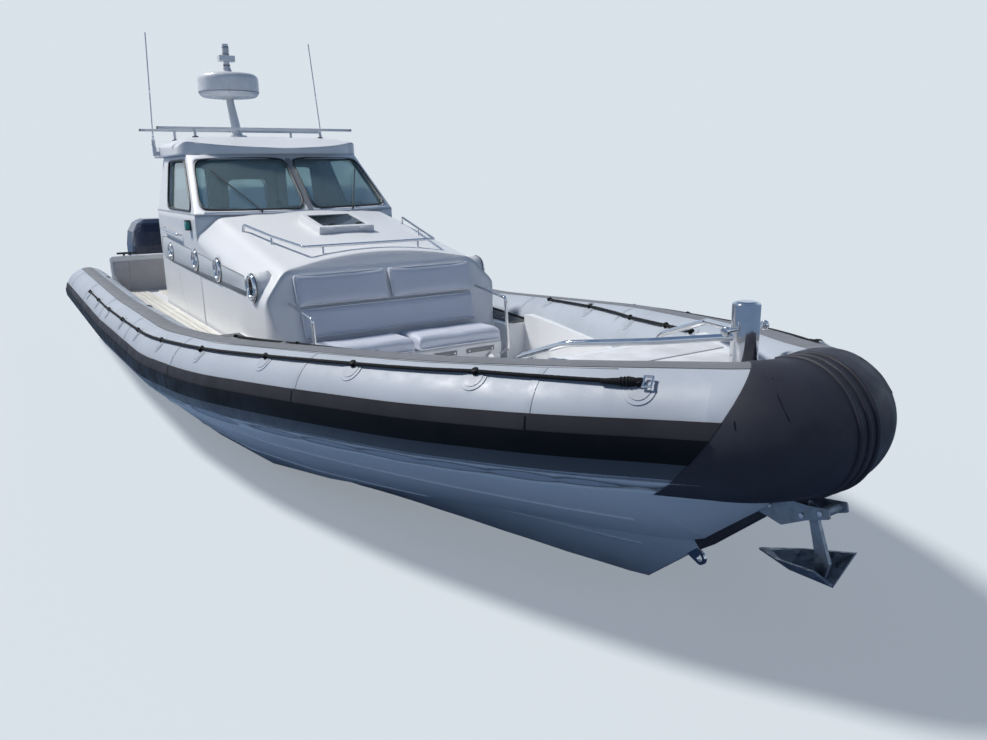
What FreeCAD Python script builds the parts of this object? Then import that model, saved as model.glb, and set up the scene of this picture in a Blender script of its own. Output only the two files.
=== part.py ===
# Rigid inflatable cabin boat, about ten metres long, with twin outboard engines.
# Frame: +X to the bow, +Y to port, +Z up. The origin is on the centreline at the waterline, amidships.
# All sizes are millimetres.
import FreeCAD, Part
import math
import os

V = FreeCAD.Vector

os.makedirs("parts", exist_ok=True)

# Collar tube
TUBE_R = 263.0
TUBE_STERN_X = -5100.0
CONE_LENGTH = 330.0
CONE_END_R = 130.0
SKIN_GAP = 0.3
# Share of a run that each of its two bends takes, and the longest radius of a bend
ARC_SHARE = 0.48
LONGEST_BEND = 6000.0
CENTRELINE_STEPS = 60
# Runs and arcs of the centreline on each side of the middle that the cap covers
CAP_EDGES = 6
# Corners of the tube's centreline on the port side, from stern to nose: x, y, z
TUBE_LINE = [
    (TUBE_STERN_X, 1455.0, 612.0),
    (-2000.0, 1484.0, 604.0),
    (0.0, 1451.0, 621.0),
    (1150.0, 1356.0, 708.0),
    (2200.0, 1131.0, 810.0),
    (3000.0, 866.0, 872.0),
    (3650.0, 594.0, 936.0),
    (4032.0, 355.0, 970.0),
    (4358.0, 190.0, 1003.0),
]
# Bands on the tube, angles up from the outward horizontal: from, to, thickness
TOP_BAND = (75.0, 100.0, 3.0)
UPPER_STRAKE = (6.5, 20.7, 9.0)
STRAKE = (-13.7, 6.5, 16.0)
LOWER_STRIP = (-32.0, -13.7, 4.0)
CAP_THICKNESS = 7.0
CAP_GAP = 1.0
# How far behind the nose's centre each rib ends, above and below
RIB_END_TOP = 115.0
RIB_END_LOW = 60.0
# The cap's edge: a point on its plane on the port side, the heading there, and how far the plane leans
CAP_EDGE = (4352.0, 413.0, 1152.0)
CAP_HEADING = (0.725, -0.688)
CAP_LEAN = 0.63
RIB_RADIUS = 10.0
RIB_SPACING = 52.0
LIFELINE_R = 9.0
ROPE_BEND = 2500.0
# The rope lies on the tube at this many places from one ring to the next, this far off it
ROPE_STEPS = 3
ROPE_LIFT = 6.0
# Lifeline rings along the outside of the tube: x, angle
LIFELINE_RINGS = [
    (-3150.0, 48.0), (-2450.0, 48.0), (-1750.0, 48.0), (-1060.0, 48.0), (-408.0, 49.5), (300.0, 52.0),
    (1126.0, 55.0), (1910.0, 56.0), (2616.0, 58.0), (3316.0, 59.5), (3953.0, 54.0),
]
# Grab line along the inside of the tube at the bow
GRABLINE_RINGS = [(1040.0, 112.0), (1771.0, 119.0), (2447.0, 128.5), (2934.0, 128.5), (3262.0, 128.5)]

# Hull stations: x, keel z, chine half breadth, chine z, top of the moulding, angle of the side's top edge
KEEL_Z = -450.0
HULL_TOP = 400.0
STATIONS = [
    (-5150.0, KEEL_Z, 1150.0, -60.0, HULL_TOP, -46.0),
    (-2000.0, KEEL_Z, 1190.0, -60.0, HULL_TOP, -46.0),
    (0.0, KEEL_Z, 1160.0, -30.0, HULL_TOP, -46.0),
    (900.0, KEEL_Z, 1060.0, 10.0, HULL_TOP, -48.0),
    (1600.0, KEEL_Z, 910.0, 90.0, HULL_TOP, -50.0),
    (2250.0, KEEL_Z, 710.0, 175.0, HULL_TOP, -53.0),
    (2700.0, -415.0, 550.0, 225.0, 410.0, -55.0),
    (3100.0, -290.0, 390.0, 260.0, 450.0, -56.0),
    (3450.0, -78.0, 240.0, 285.0, 540.0, -55.0),
    (3750.0, 178.0, 100.0, 312.0, 630.0, -55.0),
    (3930.0, 336.0, 12.0, 345.0, 690.0, -56.0),
    (4240.0, 606.0, 10.0, 614.0, 830.0, -62.0),
]
# The side's lip wraps the tube up to this angle; gaps between the tube's centreline and the lip's foot and edge
LIP_ANGLE = -33.0
LIP_FOOT = TUBE_R + 3.0
LIP_EDGE = TUBE_R + 8.0
# Forward of the last station each side runs out to a point under the tube: x, and the point's size
SIDE_END_X = 4380.0
SIDE_END_SIZE = 12.0
CHINE_FLAT = 70.0
LINER_END_X = 4180.0
LINER_INSET = 150.0
TRANSOM_X = -5150.0
TRANSOM_THICKNESS = 70.0
TRANSOM_TOP = 360.0

# Deck levels and steps
DECK_Z = 660.0
BOW_SOLE_Z = 480.0
STEP_Z = 800.0
FOREDECK_Z = 1130.0
WELL_FLOOR_Z = 330.0
BULKHEAD_X = -4080.0
BULKHEAD_THICKNESS = 60.0
BULKHEAD_TOP = 1060.0
SIDE_DECK_END = 920.0
# Raised lockers on the side decks by the seat: aft end, top
LOCKER_X = -50.0
LOCKER_Z = 775.0
STEP_X = 2350.0
FOREDECK_X = 3300.0
RECESS_MARGIN = 40.0
SCRAP_VOLUME = 1e5

# Cabin
CABIN_HALF = 950.0
CABIN_AFT_X = -2860.0
WALL = 30.0
ROOF_CENTRE_AFT = (-883.0, 1653.0)
ROOF_CENTRE_FWD = (400.0, 1412.0)
CROWN_RADIUS = 3700.0
SHOULDER_R = 190.0
FRONT_TOP = (585.0, 1290.0)
FRONT_FOOT = (735.0, 810.0)
SILL_Z = 1635.0
SCREEN_BASE = (-883.0, -1220.0, 950.0)
SCREEN_HEAD = (-1512.0, -1820.0, 835.0)
HEAD_Z = 2165.0
HEAD_AFT_X = -2860.0
PILLAR = 50.0
GLASS_T = 6.0

# Half breadth of the bar between the windscreen's two panes
MULLION_HALF = 30.0
# Door in the aft wall: half breadth of the opening, its foot, its head, overlap and thickness of the leaf
DOOR_HALF = 320.0
DOOR_FOOT = 710.0
DOOR_HEAD = 2030.0
DOOR_LAP = 20.0
DOOR_T = 32.0

# Roof
ROOF_FRONT = (-1440.0, -1800.0)
ROOF_AFT_X = -3215.0
ROOF_HALF = 890.0
ROOF_TOP_Z = 2385.0
# Height of the roof's side above its foot, and where its top begins to fall away
ROOF_SIDE = 95.0
ROOF_BRIM = 200.0
MAST_X = ROOF_AFT_X + 180.0
DOME_X = ROOF_AFT_X - 29.0

# Portlights down each side: x, z, radius
PORTLIGHTS = [
    (384.0, 1178.0, 105.0),
    (-569.0, 1221.0, 100.0),
    (-1346.0, 1239.0, 95.0),
    (-2368.0, 1246.0, 85.0),
]
# Breadth of the hatch frame's rim
HATCH_RIM = 45.0
# Coachroof hatch: centre x, height of the frame above the roof, length, breadth
HATCH = (-330.0, 30.0, 480.0, 480.0)
KNUCKLE_R = 9.0

# Roof rack bars: x, height; half the width of a bar
BARS = [(-2242.0, 2429.0), (-3165.0, 2451.0)]
RACK_HALF = 985.0
RACK_POST_Y = 640.0
RACK_POST_R = 14.0
BAR_T = 24.0
# Antennas on the roof's sides: the foot's x, its lowest and highest z, and the tip
ANTENNA_FOOT = (-2900.0, 2180.0, 2345.0)
ANTENNA_FOOT_R = 18.0
ANTENNA_R = 6.0
ANTENNA_Y = ROOF_HALF + 22.0
ANTENNA_TIP = (-2994.0, 857.0, 3392.0)
BAR_HALF = 22.0

# Seat in front of the cabin
SEAT_FRONT_X = 1090.0
SEAT_HALF = 740.0
SEAT_BASE_TOP = 700.0
CUSHION_T = 100.0
PAD_T = 45.0

# Rails and fittings
RAIL_R = 14.0
BOW_RAIL_R = 16.0
POST_R = 57.0
POST_X = 4045.0
POST_TOP = 1439.0
PIN_R = 10.0
PIN_HALF = 115.0
PIN_Z = 1335.0

# Engines
ENGINE_Y = 540.0
TILT_X = -5300.0
TILT_Z = 400.0
STEER_X = -5420.0
COWL_TOP = 1420.0
COWL_LENGTH = 900.0
COWL_WIDTH = 580.0
PLATE_Z = -455.0
PROP_R = 190.0
SHAFT_Z = -690.0

nodes = {}


def keep(name, shape):
    """File a piece under its node's name."""
    nodes.setdefault(name, []).append(shape)


def box(x0, x1, y0, y1, z0, z1):
    return Part.makeBox(x1 - x0, y1 - y0, z1 - z0, V(x0, y0, z0))


def rod(start, end, radius):
    start, end = V(*start), V(*end)
    return Part.makeCylinder(radius, (end - start).Length, start, end - start)


def mirrored(shape):
    return shape.mirror(V(0, 0, 0), V(0, 1, 0))


def rounded_wire(points, radii, closed=True):
    """Straight runs through the points, joined by tangent arcs of the given radii."""
    points = [V(*p) for p in points]
    count = len(points)
    corners = range(count) if closed else range(1, count - 1)
    starts, ends, arcs = list(points), list(points), {}
    for i in corners:
        radius = radii[i] if isinstance(radii, (list, tuple)) else radii
        before = (points[i - 1] - points[i]).normalize()
        after = (points[(i + 1) % count] - points[i]).normalize()
        half = before.getAngle(after) / 2
        if radius <= 0 or half > math.pi / 2 - 1e-4:
            continue
        reach = radius / math.tan(half)
        ends[i] = points[i] + before * reach
        starts[i] = points[i] + after * reach
        middle = points[i] + (before + after).normalize() * (radius / math.sin(half) - radius)
        arcs[i] = Part.Arc(ends[i], middle, starts[i]).toShape()
    edges = []
    for i in range(count):
        if i in arcs:
            edges.append(arcs[i])
        if i < count - 1 or closed:
            nxt = (i + 1) % count
            if (ends[nxt] - starts[i]).Length > 1e-4:
                edges.append(Part.LineSegment(starts[i], ends[nxt]).toShape())
    return Part.Wire(edges)


def prism_y(points, y0, y1, radii=0.0):
    """A side-view outline of (x, z) points, extruded across the boat."""
    face = Part.Face(rounded_wire([(x, y0, z) for x, z in points], radii))
    return face.extrude(V(0, y1 - y0, 0))


def prism_x(points, x0, x1, radii=0.0):
    """A front-view outline of (y, z) points, extruded along the boat."""
    face = Part.Face(rounded_wire([(x0, y, z) for y, z in points], radii))
    return face.extrude(V(x1 - x0, 0, 0))


def prism_z(points, z0, z1, radii=0.0):
    """A plan outline of (x, y) points, extruded upwards."""
    face = Part.Face(rounded_wire([(x, y, z0) for x, y in points], radii))
    return face.extrude(V(0, 0, z1 - z0))


def bent_bar(points, radius, bend):
    """A round bar along straight runs and tangent bends."""
    path = rounded_wire(points, bend, closed=False)
    start, nxt = V(*points[0]), V(*points[1])
    ring = Part.Wire(Part.makeCircle(radius, start, nxt - start))
    return path.makePipeShell([ring], True, False)


def tube_centre(x):
    """The tube's centre (y, z) at a station, from the runs of its centreline."""
    for (x0, y0, z0), (x1, y1, z1) in zip(TUBE_LINE, TUBE_LINE[1:]):
        if x <= x1:
            t = (x - x0) / (x1 - x0)
            return y0 + (y1 - y0) * t, z0 + (z1 - z0) * t
    return TUBE_LINE[-1][1], TUBE_LINE[-1][2]


def tube_edges():
    """Edges of the whole centreline, from the port stern round the nose to the starboard stern."""
    line = TUBE_LINE + [(x, -y, z) for x, y, z in reversed(TUBE_LINE)]
    points = [V(*p) for p in line]
    radii = [0.0] * len(points)
    for i in range(1, len(points) - 1):
        before, after = points[i - 1] - points[i], points[i + 1] - points[i]
        half = before.getAngle(after) / 2
        run = min(before.Length, after.Length)
        radii[i] = min(ARC_SHARE * run * math.tan(half), LONGEST_BEND)
    return rounded_wire(line, radii, closed=False).Edges


def band_profile(start, direction, low, high, inner, outer):
    """A sector of a ring round the tube, its angles up from outboard on the port side."""
    out = V(0, 0, 1).cross(direction).normalize()
    up = direction.cross(out).normalize()

    def at(radius, angle):
        angle = math.radians(angle)
        return start + out * (radius * math.cos(angle)) + up * (radius * math.sin(angle))

    middle = (low + high) / 2
    return Part.Wire([
        Part.Arc(at(inner, low), at(inner, middle), at(inner, high)).toShape(),
        Part.LineSegment(at(inner, high), at(outer, high)).toShape(),
        Part.Arc(at(outer, high), at(outer, middle), at(outer, low)).toShape(),
        Part.LineSegment(at(outer, low), at(inner, low)).toShape(),
    ])


def along_tube(edges, profile):
    return Part.Wire(edges).makePipeShell([profile], True, False)


def make_collar():
    edges = tube_edges()
    start = V(*TUBE_LINE[0])
    heading = (V(*TUBE_LINE[1]) - start).normalize()
    whole = Part.Wire(edges)

    def pipe(radius):
        ring = Part.Wire(Part.makeCircle(radius, start, heading))
        body = whole.makePipeShell([ring], True, False)
        grow = radius - TUBE_R
        cone = Part.makeCone(CONE_END_R + grow, radius, CONE_LENGTH, start - heading * CONE_LENGTH, heading)
        return body.fuse([cone, mirrored(cone)])

    keep("tube_collar", pipe(TUBE_R))
    return pipe(TUBE_R + SKIN_GAP), edges


def tube_point(edges, x, angle, reach):
    """A point on the port side at a reach from the tube's centreline, by station and angle."""
    for edge in edges[:len(edges) // 2]:
        points = edge.discretize(CENTRELINE_STEPS)
        for a, b in zip(points, points[1:]):
            if a.x <= x <= b.x:
                direction = (b - a).normalize()
                centre = a + (b - a) * ((x - a.x) / (b.x - a.x))
                out = V(0, 0, 1).cross(direction).normalize()
                up = direction.cross(out).normalize()
                turn = math.radians(angle)
                return centre + out * (reach * math.cos(turn)) + up * (reach * math.sin(turn))
    raise ValueError(x)


def cap_side(ahead):
    """The space ahead of the leaning plane of the cap's edge on the port side, or the space behind it."""
    normal = V(CAP_HEADING[0], CAP_HEADING[1], -CAP_LEAN).normalize()
    reach = 3000.0
    space = Part.makeBox(2 * reach, 2 * reach, reach, V(-reach, -reach, 0.0 if ahead else -reach))
    space.Placement = FreeCAD.Placement(V(*CAP_EDGE), FreeCAD.Rotation(V(0, 0, 1), normal))
    return space


def make_bands(edges):
    ahead = cap_side(True)
    port_edges = [Part.Edge(e) for e in edges[:len(edges) // 2]]
    start = V(*TUBE_LINE[0])
    heading = (V(*TUBE_LINE[1]) - start).normalize()
    for name, (low, high, thick) in (
        ("tube_top_bands", TOP_BAND),
        ("upper_strakes", UPPER_STRAKE),
        ("rubbing_strakes", STRAKE),
        ("lower_strips", LOWER_STRIP),
    ):
        profile = band_profile(start, heading, low, high, TUBE_R + SKIN_GAP, TUBE_R + thick)
        band = along_tube(port_edges, profile).cut(ahead)
        band = max(band.Solids, key=lambda solid: solid.Volume)
        keep(name, band)
        keep(name, mirrored(band))


def make_ropes(edges):
    for name, rings in (("lifelines", LIFELINE_RINGS), ("inner_lines", GRABLINE_RINGS)):
        reach = TUBE_R + LIFELINE_R + ROPE_LIFT
        places = [rings[0]]
        for (x0, angle0), (x1, angle1) in zip(rings, rings[1:]):
            for step in range(1, ROPE_STEPS + 1):
                share = step / ROPE_STEPS
                places.append((x0 + (x1 - x0) * share, angle0 + (angle1 - angle0) * share))
        rope = bent_bar([tuple(tube_point(edges, x, angle, reach)) for x, angle in places], LIFELINE_R,
                        ROPE_BEND)
        for x, angle in rings:
            foot = tube_point(edges, x, angle, TUBE_R + SKIN_GAP)
            rope = rope.fuse(Part.makeCylinder(LIFELINE_R + 6.0, 26.0, foot,
                                               foot - tube_point(edges, x, angle, 0.0)))
        keep(name, rope)
        keep(name, mirrored(rope))


def make_nose_cap(tube_cut, edges):
    middle = len(edges) // 2
    spine = Part.Wire([Part.Edge(e) for e in edges[middle - CAP_EDGES:middle + CAP_EDGES + 1]])
    begin = edges[middle - CAP_EDGES].firstVertex().Point
    direction = (edges[middle - CAP_EDGES].lastVertex().Point - begin).normalize()

    def sweep(radius):
        return spine.makePipeShell([Part.Wire(Part.makeCircle(radius, begin, direction))], True, False)

    behind = cap_side(False)
    outer = sweep(TUBE_R + CAP_THICKNESS).cut([behind, mirrored(behind)])
    cap = outer.cut(sweep(TUBE_R + CAP_GAP)).cut(tube_cut)
    nose = TUBE_LINE[-1]
    for step in (-1, 0, 1):
        centre = V(nose[0], step * RIB_SPACING, nose[2])
        ring = Part.makeTorus(TUBE_R + CAP_THICKNESS, RIB_RADIUS, centre, V(0, 1, 0))
        ring = ring.cut(Part.makeCylinder(TUBE_R + 2 * CAP_GAP, 100.0, centre - V(0, 50, 0), V(0, 1, 0)))
        # Below, each rib ends further forward, where the tube starts to bend away from it
        upper = box(nose[0] - RIB_END_TOP, nose[0] + 400.0, -400.0, 400.0, nose[2], nose[2] + 400.0)
        lower = box(nose[0] - RIB_END_LOW, nose[0] + 400.0, -400.0, 400.0, nose[2] - 400.0, nose[2])
        cap = cap.fuse(ring.common(upper.fuse(lower).removeSplitter()))
        outer = outer.fuse(ring)
    keep("nose_cap", cap)
    return outer


def edges_at(shape, z):
    """The shape's edges that lie flat at a height."""
    return [e for e in shape.Edges if abs(e.BoundBox.ZMin - z) < 1 and abs(e.BoundBox.ZMax - z) < 1]


def polygon(x, points):
    wire = [V(x, y, z) for y, z in points]
    return Part.makePolygon(wire + [wire[0]])


def tube_at(edges, x, angle, reach):
    """The port tube's (y, z) at an angle, where that point has the given x."""
    low, high = x - TUBE_R, min(x, TUBE_LINE[-1][0] - 1.0)
    low = max(low, TUBE_STERN_X + 1.0)
    if x <= low:
        point = tube_point(edges, low, angle, reach)
        return point.y, point.z
    for _ in range(24):
        middle = (low + high) / 2
        if tube_point(edges, middle, angle, reach).x < x:
            low = middle
        else:
            high = middle
    point = tube_point(edges, low, angle, reach)
    return point.y, point.z


def make_hull(tube_cut, cap_cut, edges):
    sections = []
    for x, keel, chine_y, chine_z, top, meet in STATIONS:
        centre_y, centre_z = tube_centre(min(x, 4180.0))
        flat = CHINE_FLAT * min(1.0, chine_y / 500.0)
        outline = [
            (0.0, keel),
            (chine_y - flat, chine_z - flat * 0.15),
            (chine_y, chine_z),
            tube_at(edges, x, meet, LIP_FOOT),
            tube_at(edges, x, LIP_ANGLE, LIP_EDGE),
            (centre_y - LINER_INSET, centre_z - 60.0),
            (centre_y - LINER_INSET, top),
            (0.0, top),
        ]
        sections.append(polygon(x, outline))
    end_y, end_z = tube_at(edges, SIDE_END_X, LIP_ANGLE, LIP_EDGE)
    step = SIDE_END_SIZE
    inner = end_y - 4 * step
    sections.append(polygon(SIDE_END_X, [
        (inner, end_z - 2.0 * step), (inner + step, end_z - 1.8 * step), (inner + 2 * step, end_z - 1.6 * step),
        (end_y - step, end_z - step), (end_y, end_z), (end_y - step, end_z + step),
        (inner + step, end_z + step), (inner, end_z + step),
    ]))
    port = Part.makeLoft(sections, True, True)
    hull = port.fuse(mirrored(port))
    hull = hull.cut(tube_cut).cut(cap_cut)
    well = box(TRANSOM_X + TRANSOM_THICKNESS, BULKHEAD_X - BULKHEAD_THICKNESS, -1050.0, 1050.0,
               WELL_FLOOR_Z, 600.0)
    notch = box(TRANSOM_X - 50.0, TRANSOM_X + TRANSOM_THICKNESS + 1.0, -1000.0, 1000.0, TRANSOM_TOP, 600.0)
    hull = max(hull.cut([well, notch]).Solids, key=lambda solid: solid.Volume)
    keep("hull", hull)
    return hull


def make_deck(tube_cut, cap_cut):
    sections = []
    for x, _, _, _, top, _ in STATIONS:
        centre_y = tube_centre(min(x, LINER_END_X))[0]
        edge = centre_y - LINER_INSET
        sections.append(polygon(x, [(-edge, top), (edge, top), (edge, FOREDECK_Z), (-edge, FOREDECK_Z)]))
    liner = Part.makeLoft(sections, True, True)
    high = 1500.0

    def recess(x0, x1, margin, floor):
        """A recess that follows the inside of the tube."""
        stations = [x0] + [p[0] for p in TUBE_LINE if x0 < p[0] < x1] + [x1]
        plan = [(x, tube_centre(x)[0] - TUBE_R - margin) for x in stations]
        return prism_z(plan + [(x, -y) for x, y in reversed(plan)], floor, high)

    cuts = [
        box(TRANSOM_X - 100.0, SIDE_DECK_END, -1500.0, 1500.0, BULKHEAD_TOP, high),
        box(BULKHEAD_X, LOCKER_X, -1500.0, 1500.0, DECK_Z, high),
        box(LOCKER_X - 1.0, SIDE_DECK_END, -1500.0, 1500.0, LOCKER_Z, high),
        box(TRANSOM_X - 10.0, BULKHEAD_X - BULKHEAD_THICKNESS, -1500.0, 1500.0, 700.0, high),
        box(TRANSOM_X - 10.0, BULKHEAD_X - BULKHEAD_THICKNESS, -1050.0, 1050.0, 300.0, high),
        recess(SIDE_DECK_END, STEP_X, RECESS_MARGIN, BOW_SOLE_Z),
        recess(STEP_X - 1.0, FOREDECK_X, RECESS_MARGIN, STEP_Z),
        box(FRONT_FOOT[0], SIDE_DECK_END + 1.0, -900.0, 900.0, BOW_SOLE_Z, high),
        box(CABIN_AFT_X + WALL, FRONT_FOOT[0] - WALL, WALL - CABIN_HALF + 20.0, CABIN_HALF - WALL - 20.0,
            300.0, high),
        box(SIDE_DECK_END - 1.0, FOREDECK_X, -1500.0, 1500.0, 840.0, high),
    ]
    deck = liner.cut(tube_cut).cut(cap_cut).cut(cuts).cut(trunk(-SKIN_GAP))
    # Moulded in three lengths that meet at the cabin's aft wall and at the side decks' end
    for x0, x1 in ((TRANSOM_X - 100.0, CABIN_AFT_X), (CABIN_AFT_X, SIDE_DECK_END), (SIDE_DECK_END, 4300.0)):
        for solid in deck.common(box(x0, x1, -1700.0, 1700.0, 0.0, high)).Solids:
            if solid.Volume > SCRAP_VOLUME:
                keep("deck", solid)


def crown_outline(half, crown, shoulder, foot):
    """Front-view outline of the trunk: side, shoulder, and two runs that meet above the crown arc."""
    turn = math.asin(0.62 * half / CROWN_RADIUS)
    apex = crown + CROWN_RADIUS * (1 / math.cos(turn) - 1)
    edge = half - shoulder * 0.9
    edge_z = apex - math.tan(turn) * edge
    return [(-half + 15.0, foot), (-half, edge_z - shoulder), (-edge, edge_z), (0.0, apex),
            (edge, edge_z), (half, edge_z - shoulder), (half - 15.0, foot)]


def trunk(inset):
    """The coachroof, a crowned section run down the roofline and cut by the front face."""
    x0, z0 = ROOF_CENTRE_AFT
    x1, z1 = ROOF_CENTRE_FWD
    slope = (z1 - z0) / (x1 - x0)
    start = CABIN_AFT_X + 400.0
    end = 1000.0
    crown = z0 + slope * (start - x0) - inset
    outline = crown_outline(CABIN_HALF - inset, crown, SHOULDER_R, -600.0)
    radii = [0.0, SHOULDER_R * 0.8, SHOULDER_R * 0.8, CROWN_RADIUS, SHOULDER_R * 0.8, SHOULDER_R * 0.8, 0.0]
    wire = rounded_wire([(start, y, z) for y, z in outline], radii)
    body = Part.Face(wire).extrude(V(end - start, 0, slope * (end - start)))
    front = [
        (start, DECK_Z - (1.0 if inset else 0.0)),
        (start, SILL_Z - inset),
        (x0, SILL_Z - inset),
        (x0, 2200.0),
        (x1 - 80.0 - inset, 2200.0),
        (x1 + 60.0 - inset, z1 + 60.0),
        (FRONT_TOP[0] - inset, FRONT_TOP[1]),
        (FRONT_FOOT[0] - inset, FRONT_FOOT[1]),
        (FRONT_FOOT[0] - inset, DECK_Z - (1.0 if inset else 0.0)),
    ]
    side = prism_y(front, -1000.0, 1000.0, [0, 0, 0, 0, 0, 60.0, 150.0, 60.0, 0])
    corner = 140.0 - inset
    half = CABIN_HALF - inset
    nose = FRONT_FOOT[0] - inset
    plan = prism_z([(start, -half), (nose, -half), (nose, half), (start, half)], 0.0, 2200.0,
                   [0, corner, corner, 0])
    return body.common(side).common(plan)


def screen_plan(x_centre, x_corner, half, aft, z):
    """Plan outline of the wheelhouse at one level, with a curved front."""
    port, stbd = V(x_corner, half, z), V(x_corner, -half, z)
    return Part.Wire([
        Part.Arc(stbd, V(x_centre, 0, z), port).toShape(),
        Part.LineSegment(port, V(aft, half, z)).toShape(),
        Part.LineSegment(V(aft, half, z), V(aft, -half, z)).toShape(),
        Part.LineSegment(V(aft, -half, z), stbd).toShape(),
    ])


def house(inset, z0, z1):
    """The wheelhouse between two levels, its walls moved in by an inset."""
    def level(z):
        t = (z - SILL_Z) / (HEAD_Z - SILL_Z)
        t = max(t, 0.0)
        centre = SCREEN_BASE[0] + (SCREEN_HEAD[0] - SCREEN_BASE[0]) * t
        corner = SCREEN_BASE[1] + (SCREEN_HEAD[1] - SCREEN_BASE[1]) * t
        half = SCREEN_BASE[2] + (SCREEN_HEAD[2] - SCREEN_BASE[2]) * t
        aft = CABIN_AFT_X + (HEAD_AFT_X - CABIN_AFT_X) * t
        return screen_plan(centre - inset * 1.3, corner - inset * 1.3, half - inset, aft + inset, z)
    return Part.makeLoft([level(z0), level(z1)], True, True)


def make_cabin():
    outer = trunk(0.0).fuse(house(0.0, DECK_Z, SILL_Z))
    inner = trunk(WALL).fuse(house(WALL, DECK_Z - 1.0, SILL_Z + 1.0))
    lower = outer.cut(inner)
    upper = house(0.0, SILL_Z, HEAD_Z).cut(house(PILLAR, SILL_Z - 1.0, HEAD_Z + 1.0))

    # Window openings: front pair, sides and aft pair
    low, high = SILL_Z + 35.0, HEAD_Z - 45.0
    front = [(MULLION_HALF, low), (890.0, low), (792.0, high), (MULLION_HALF, high)]
    side = [(-1345.0, low), (-2350.0, low), (-2560.0, high), (-1870.0, high)]
    aft = [(430.0, 1300.0), (790.0, 1300.0), (740.0, 2060.0), (430.0, 2060.0)]
    r = 40.0

    def openings(shrink):
        def inside(points):
            middle = FreeCAD.Vector(sum(p[0] for p in points) / len(points),
                                    sum(p[1] for p in points) / len(points), 0)
            return [(x - math.copysign(shrink, x - middle.x),
                     z - math.copysign(shrink, z - middle.y)) for x, z in points]
        pane = prism_x(inside(front), -2000.0, -700.0, r)
        quarter = prism_y(inside(side), 700.0, 1100.0, r)
        back = prism_x(inside(aft), -3100.0, -2700.0, r)
        shapes = []
        for shape in (pane, quarter, back):
            shapes += [shape, mirrored(shape)]
        return shapes

    # Door opening in the aft wall
    door_hole = box(CABIN_AFT_X - 340.0, CABIN_AFT_X + 160.0, -DOOR_HALF, DOOR_HALF, DOOR_FOOT, DOOR_HEAD)
    upper = upper.cut(openings(0.0)).cut(door_hole)
    lower = lower.cut(door_hole).cut([s for s in openings(0.0)[4:]])

    # Portlight holes
    for x, z, radius in PORTLIGHTS:
        hole = rod((x, -1100.0, z), (x, 1100.0, z), radius - 22.0)
        lower = lower.cut(hole)
    # Coachroof hatch hole
    lower = lower.cut(box(HATCH[0] - HATCH[2] / 2 + 30, HATCH[0] + HATCH[2] / 2 - 30, -HATCH[3] / 2 + 30,
                          HATCH[3] / 2 - 30, 1400.0, 1800.0))
    keep("cabin", lower)
    keep("wheelhouse", upper)

    # Glass follows the walls, in the middle of their thickness
    lay = house(20.0, SILL_Z, HEAD_Z).cut(house(20.0 + GLASS_T, SILL_Z - 1.0, HEAD_Z + 1.0))
    for shape in openings(SKIN_GAP)[:4]:
        keep("windows", lay.common(shape))
    lay_aft = house(12.0, 1250.0, HEAD_Z).cut(house(12.0 + GLASS_T, 1249.0, HEAD_Z + 1.0))
    for shape in openings(SKIN_GAP)[4:]:
        for solid in lay_aft.common(shape).Solids:
            keep("windows", solid)
    return lower


def roof_z(x, y=0.0):
    """Height of the coachroof's outside."""
    x0, z0 = ROOF_CENTRE_AFT
    x1, z1 = ROOF_CENTRE_FWD
    return z0 + (z1 - z0) * (x - x0) / (x1 - x0) - y * y / (2 * CROWN_RADIUS)


def make_portlights():
    for x, z, radius in PORTLIGHTS:
        face = CABIN_HALF
        for side in (1, -1):
            ring = rod((x, side * (face - WALL - 4.0), z), (x, side * (face + 12.0), z), radius)
            sleeve = rod((x, side * (face - WALL - 6.0), z), (x, side * (face + 14.0), z),
                         radius - 22.0 - SKIN_GAP)
            bore = rod((x, side * (face - WALL - 8.0), z), (x, side * (face + 16.0), z), radius - 34.0)
            wall = rod((x, side * (face - WALL - 8.0), z), (x, side * (face + SKIN_GAP), z), radius + 5.0)
            flange = ring.cut(wall).fuse(sleeve.common(ring)).cut(bore)
            keep("portlights", flange)
            pane = rod((x, side * (face - 8.0), z), (x, side * (face - 2.0), z), radius - 34.0 - SKIN_GAP)
            keep("portlight_glass", pane)


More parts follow.
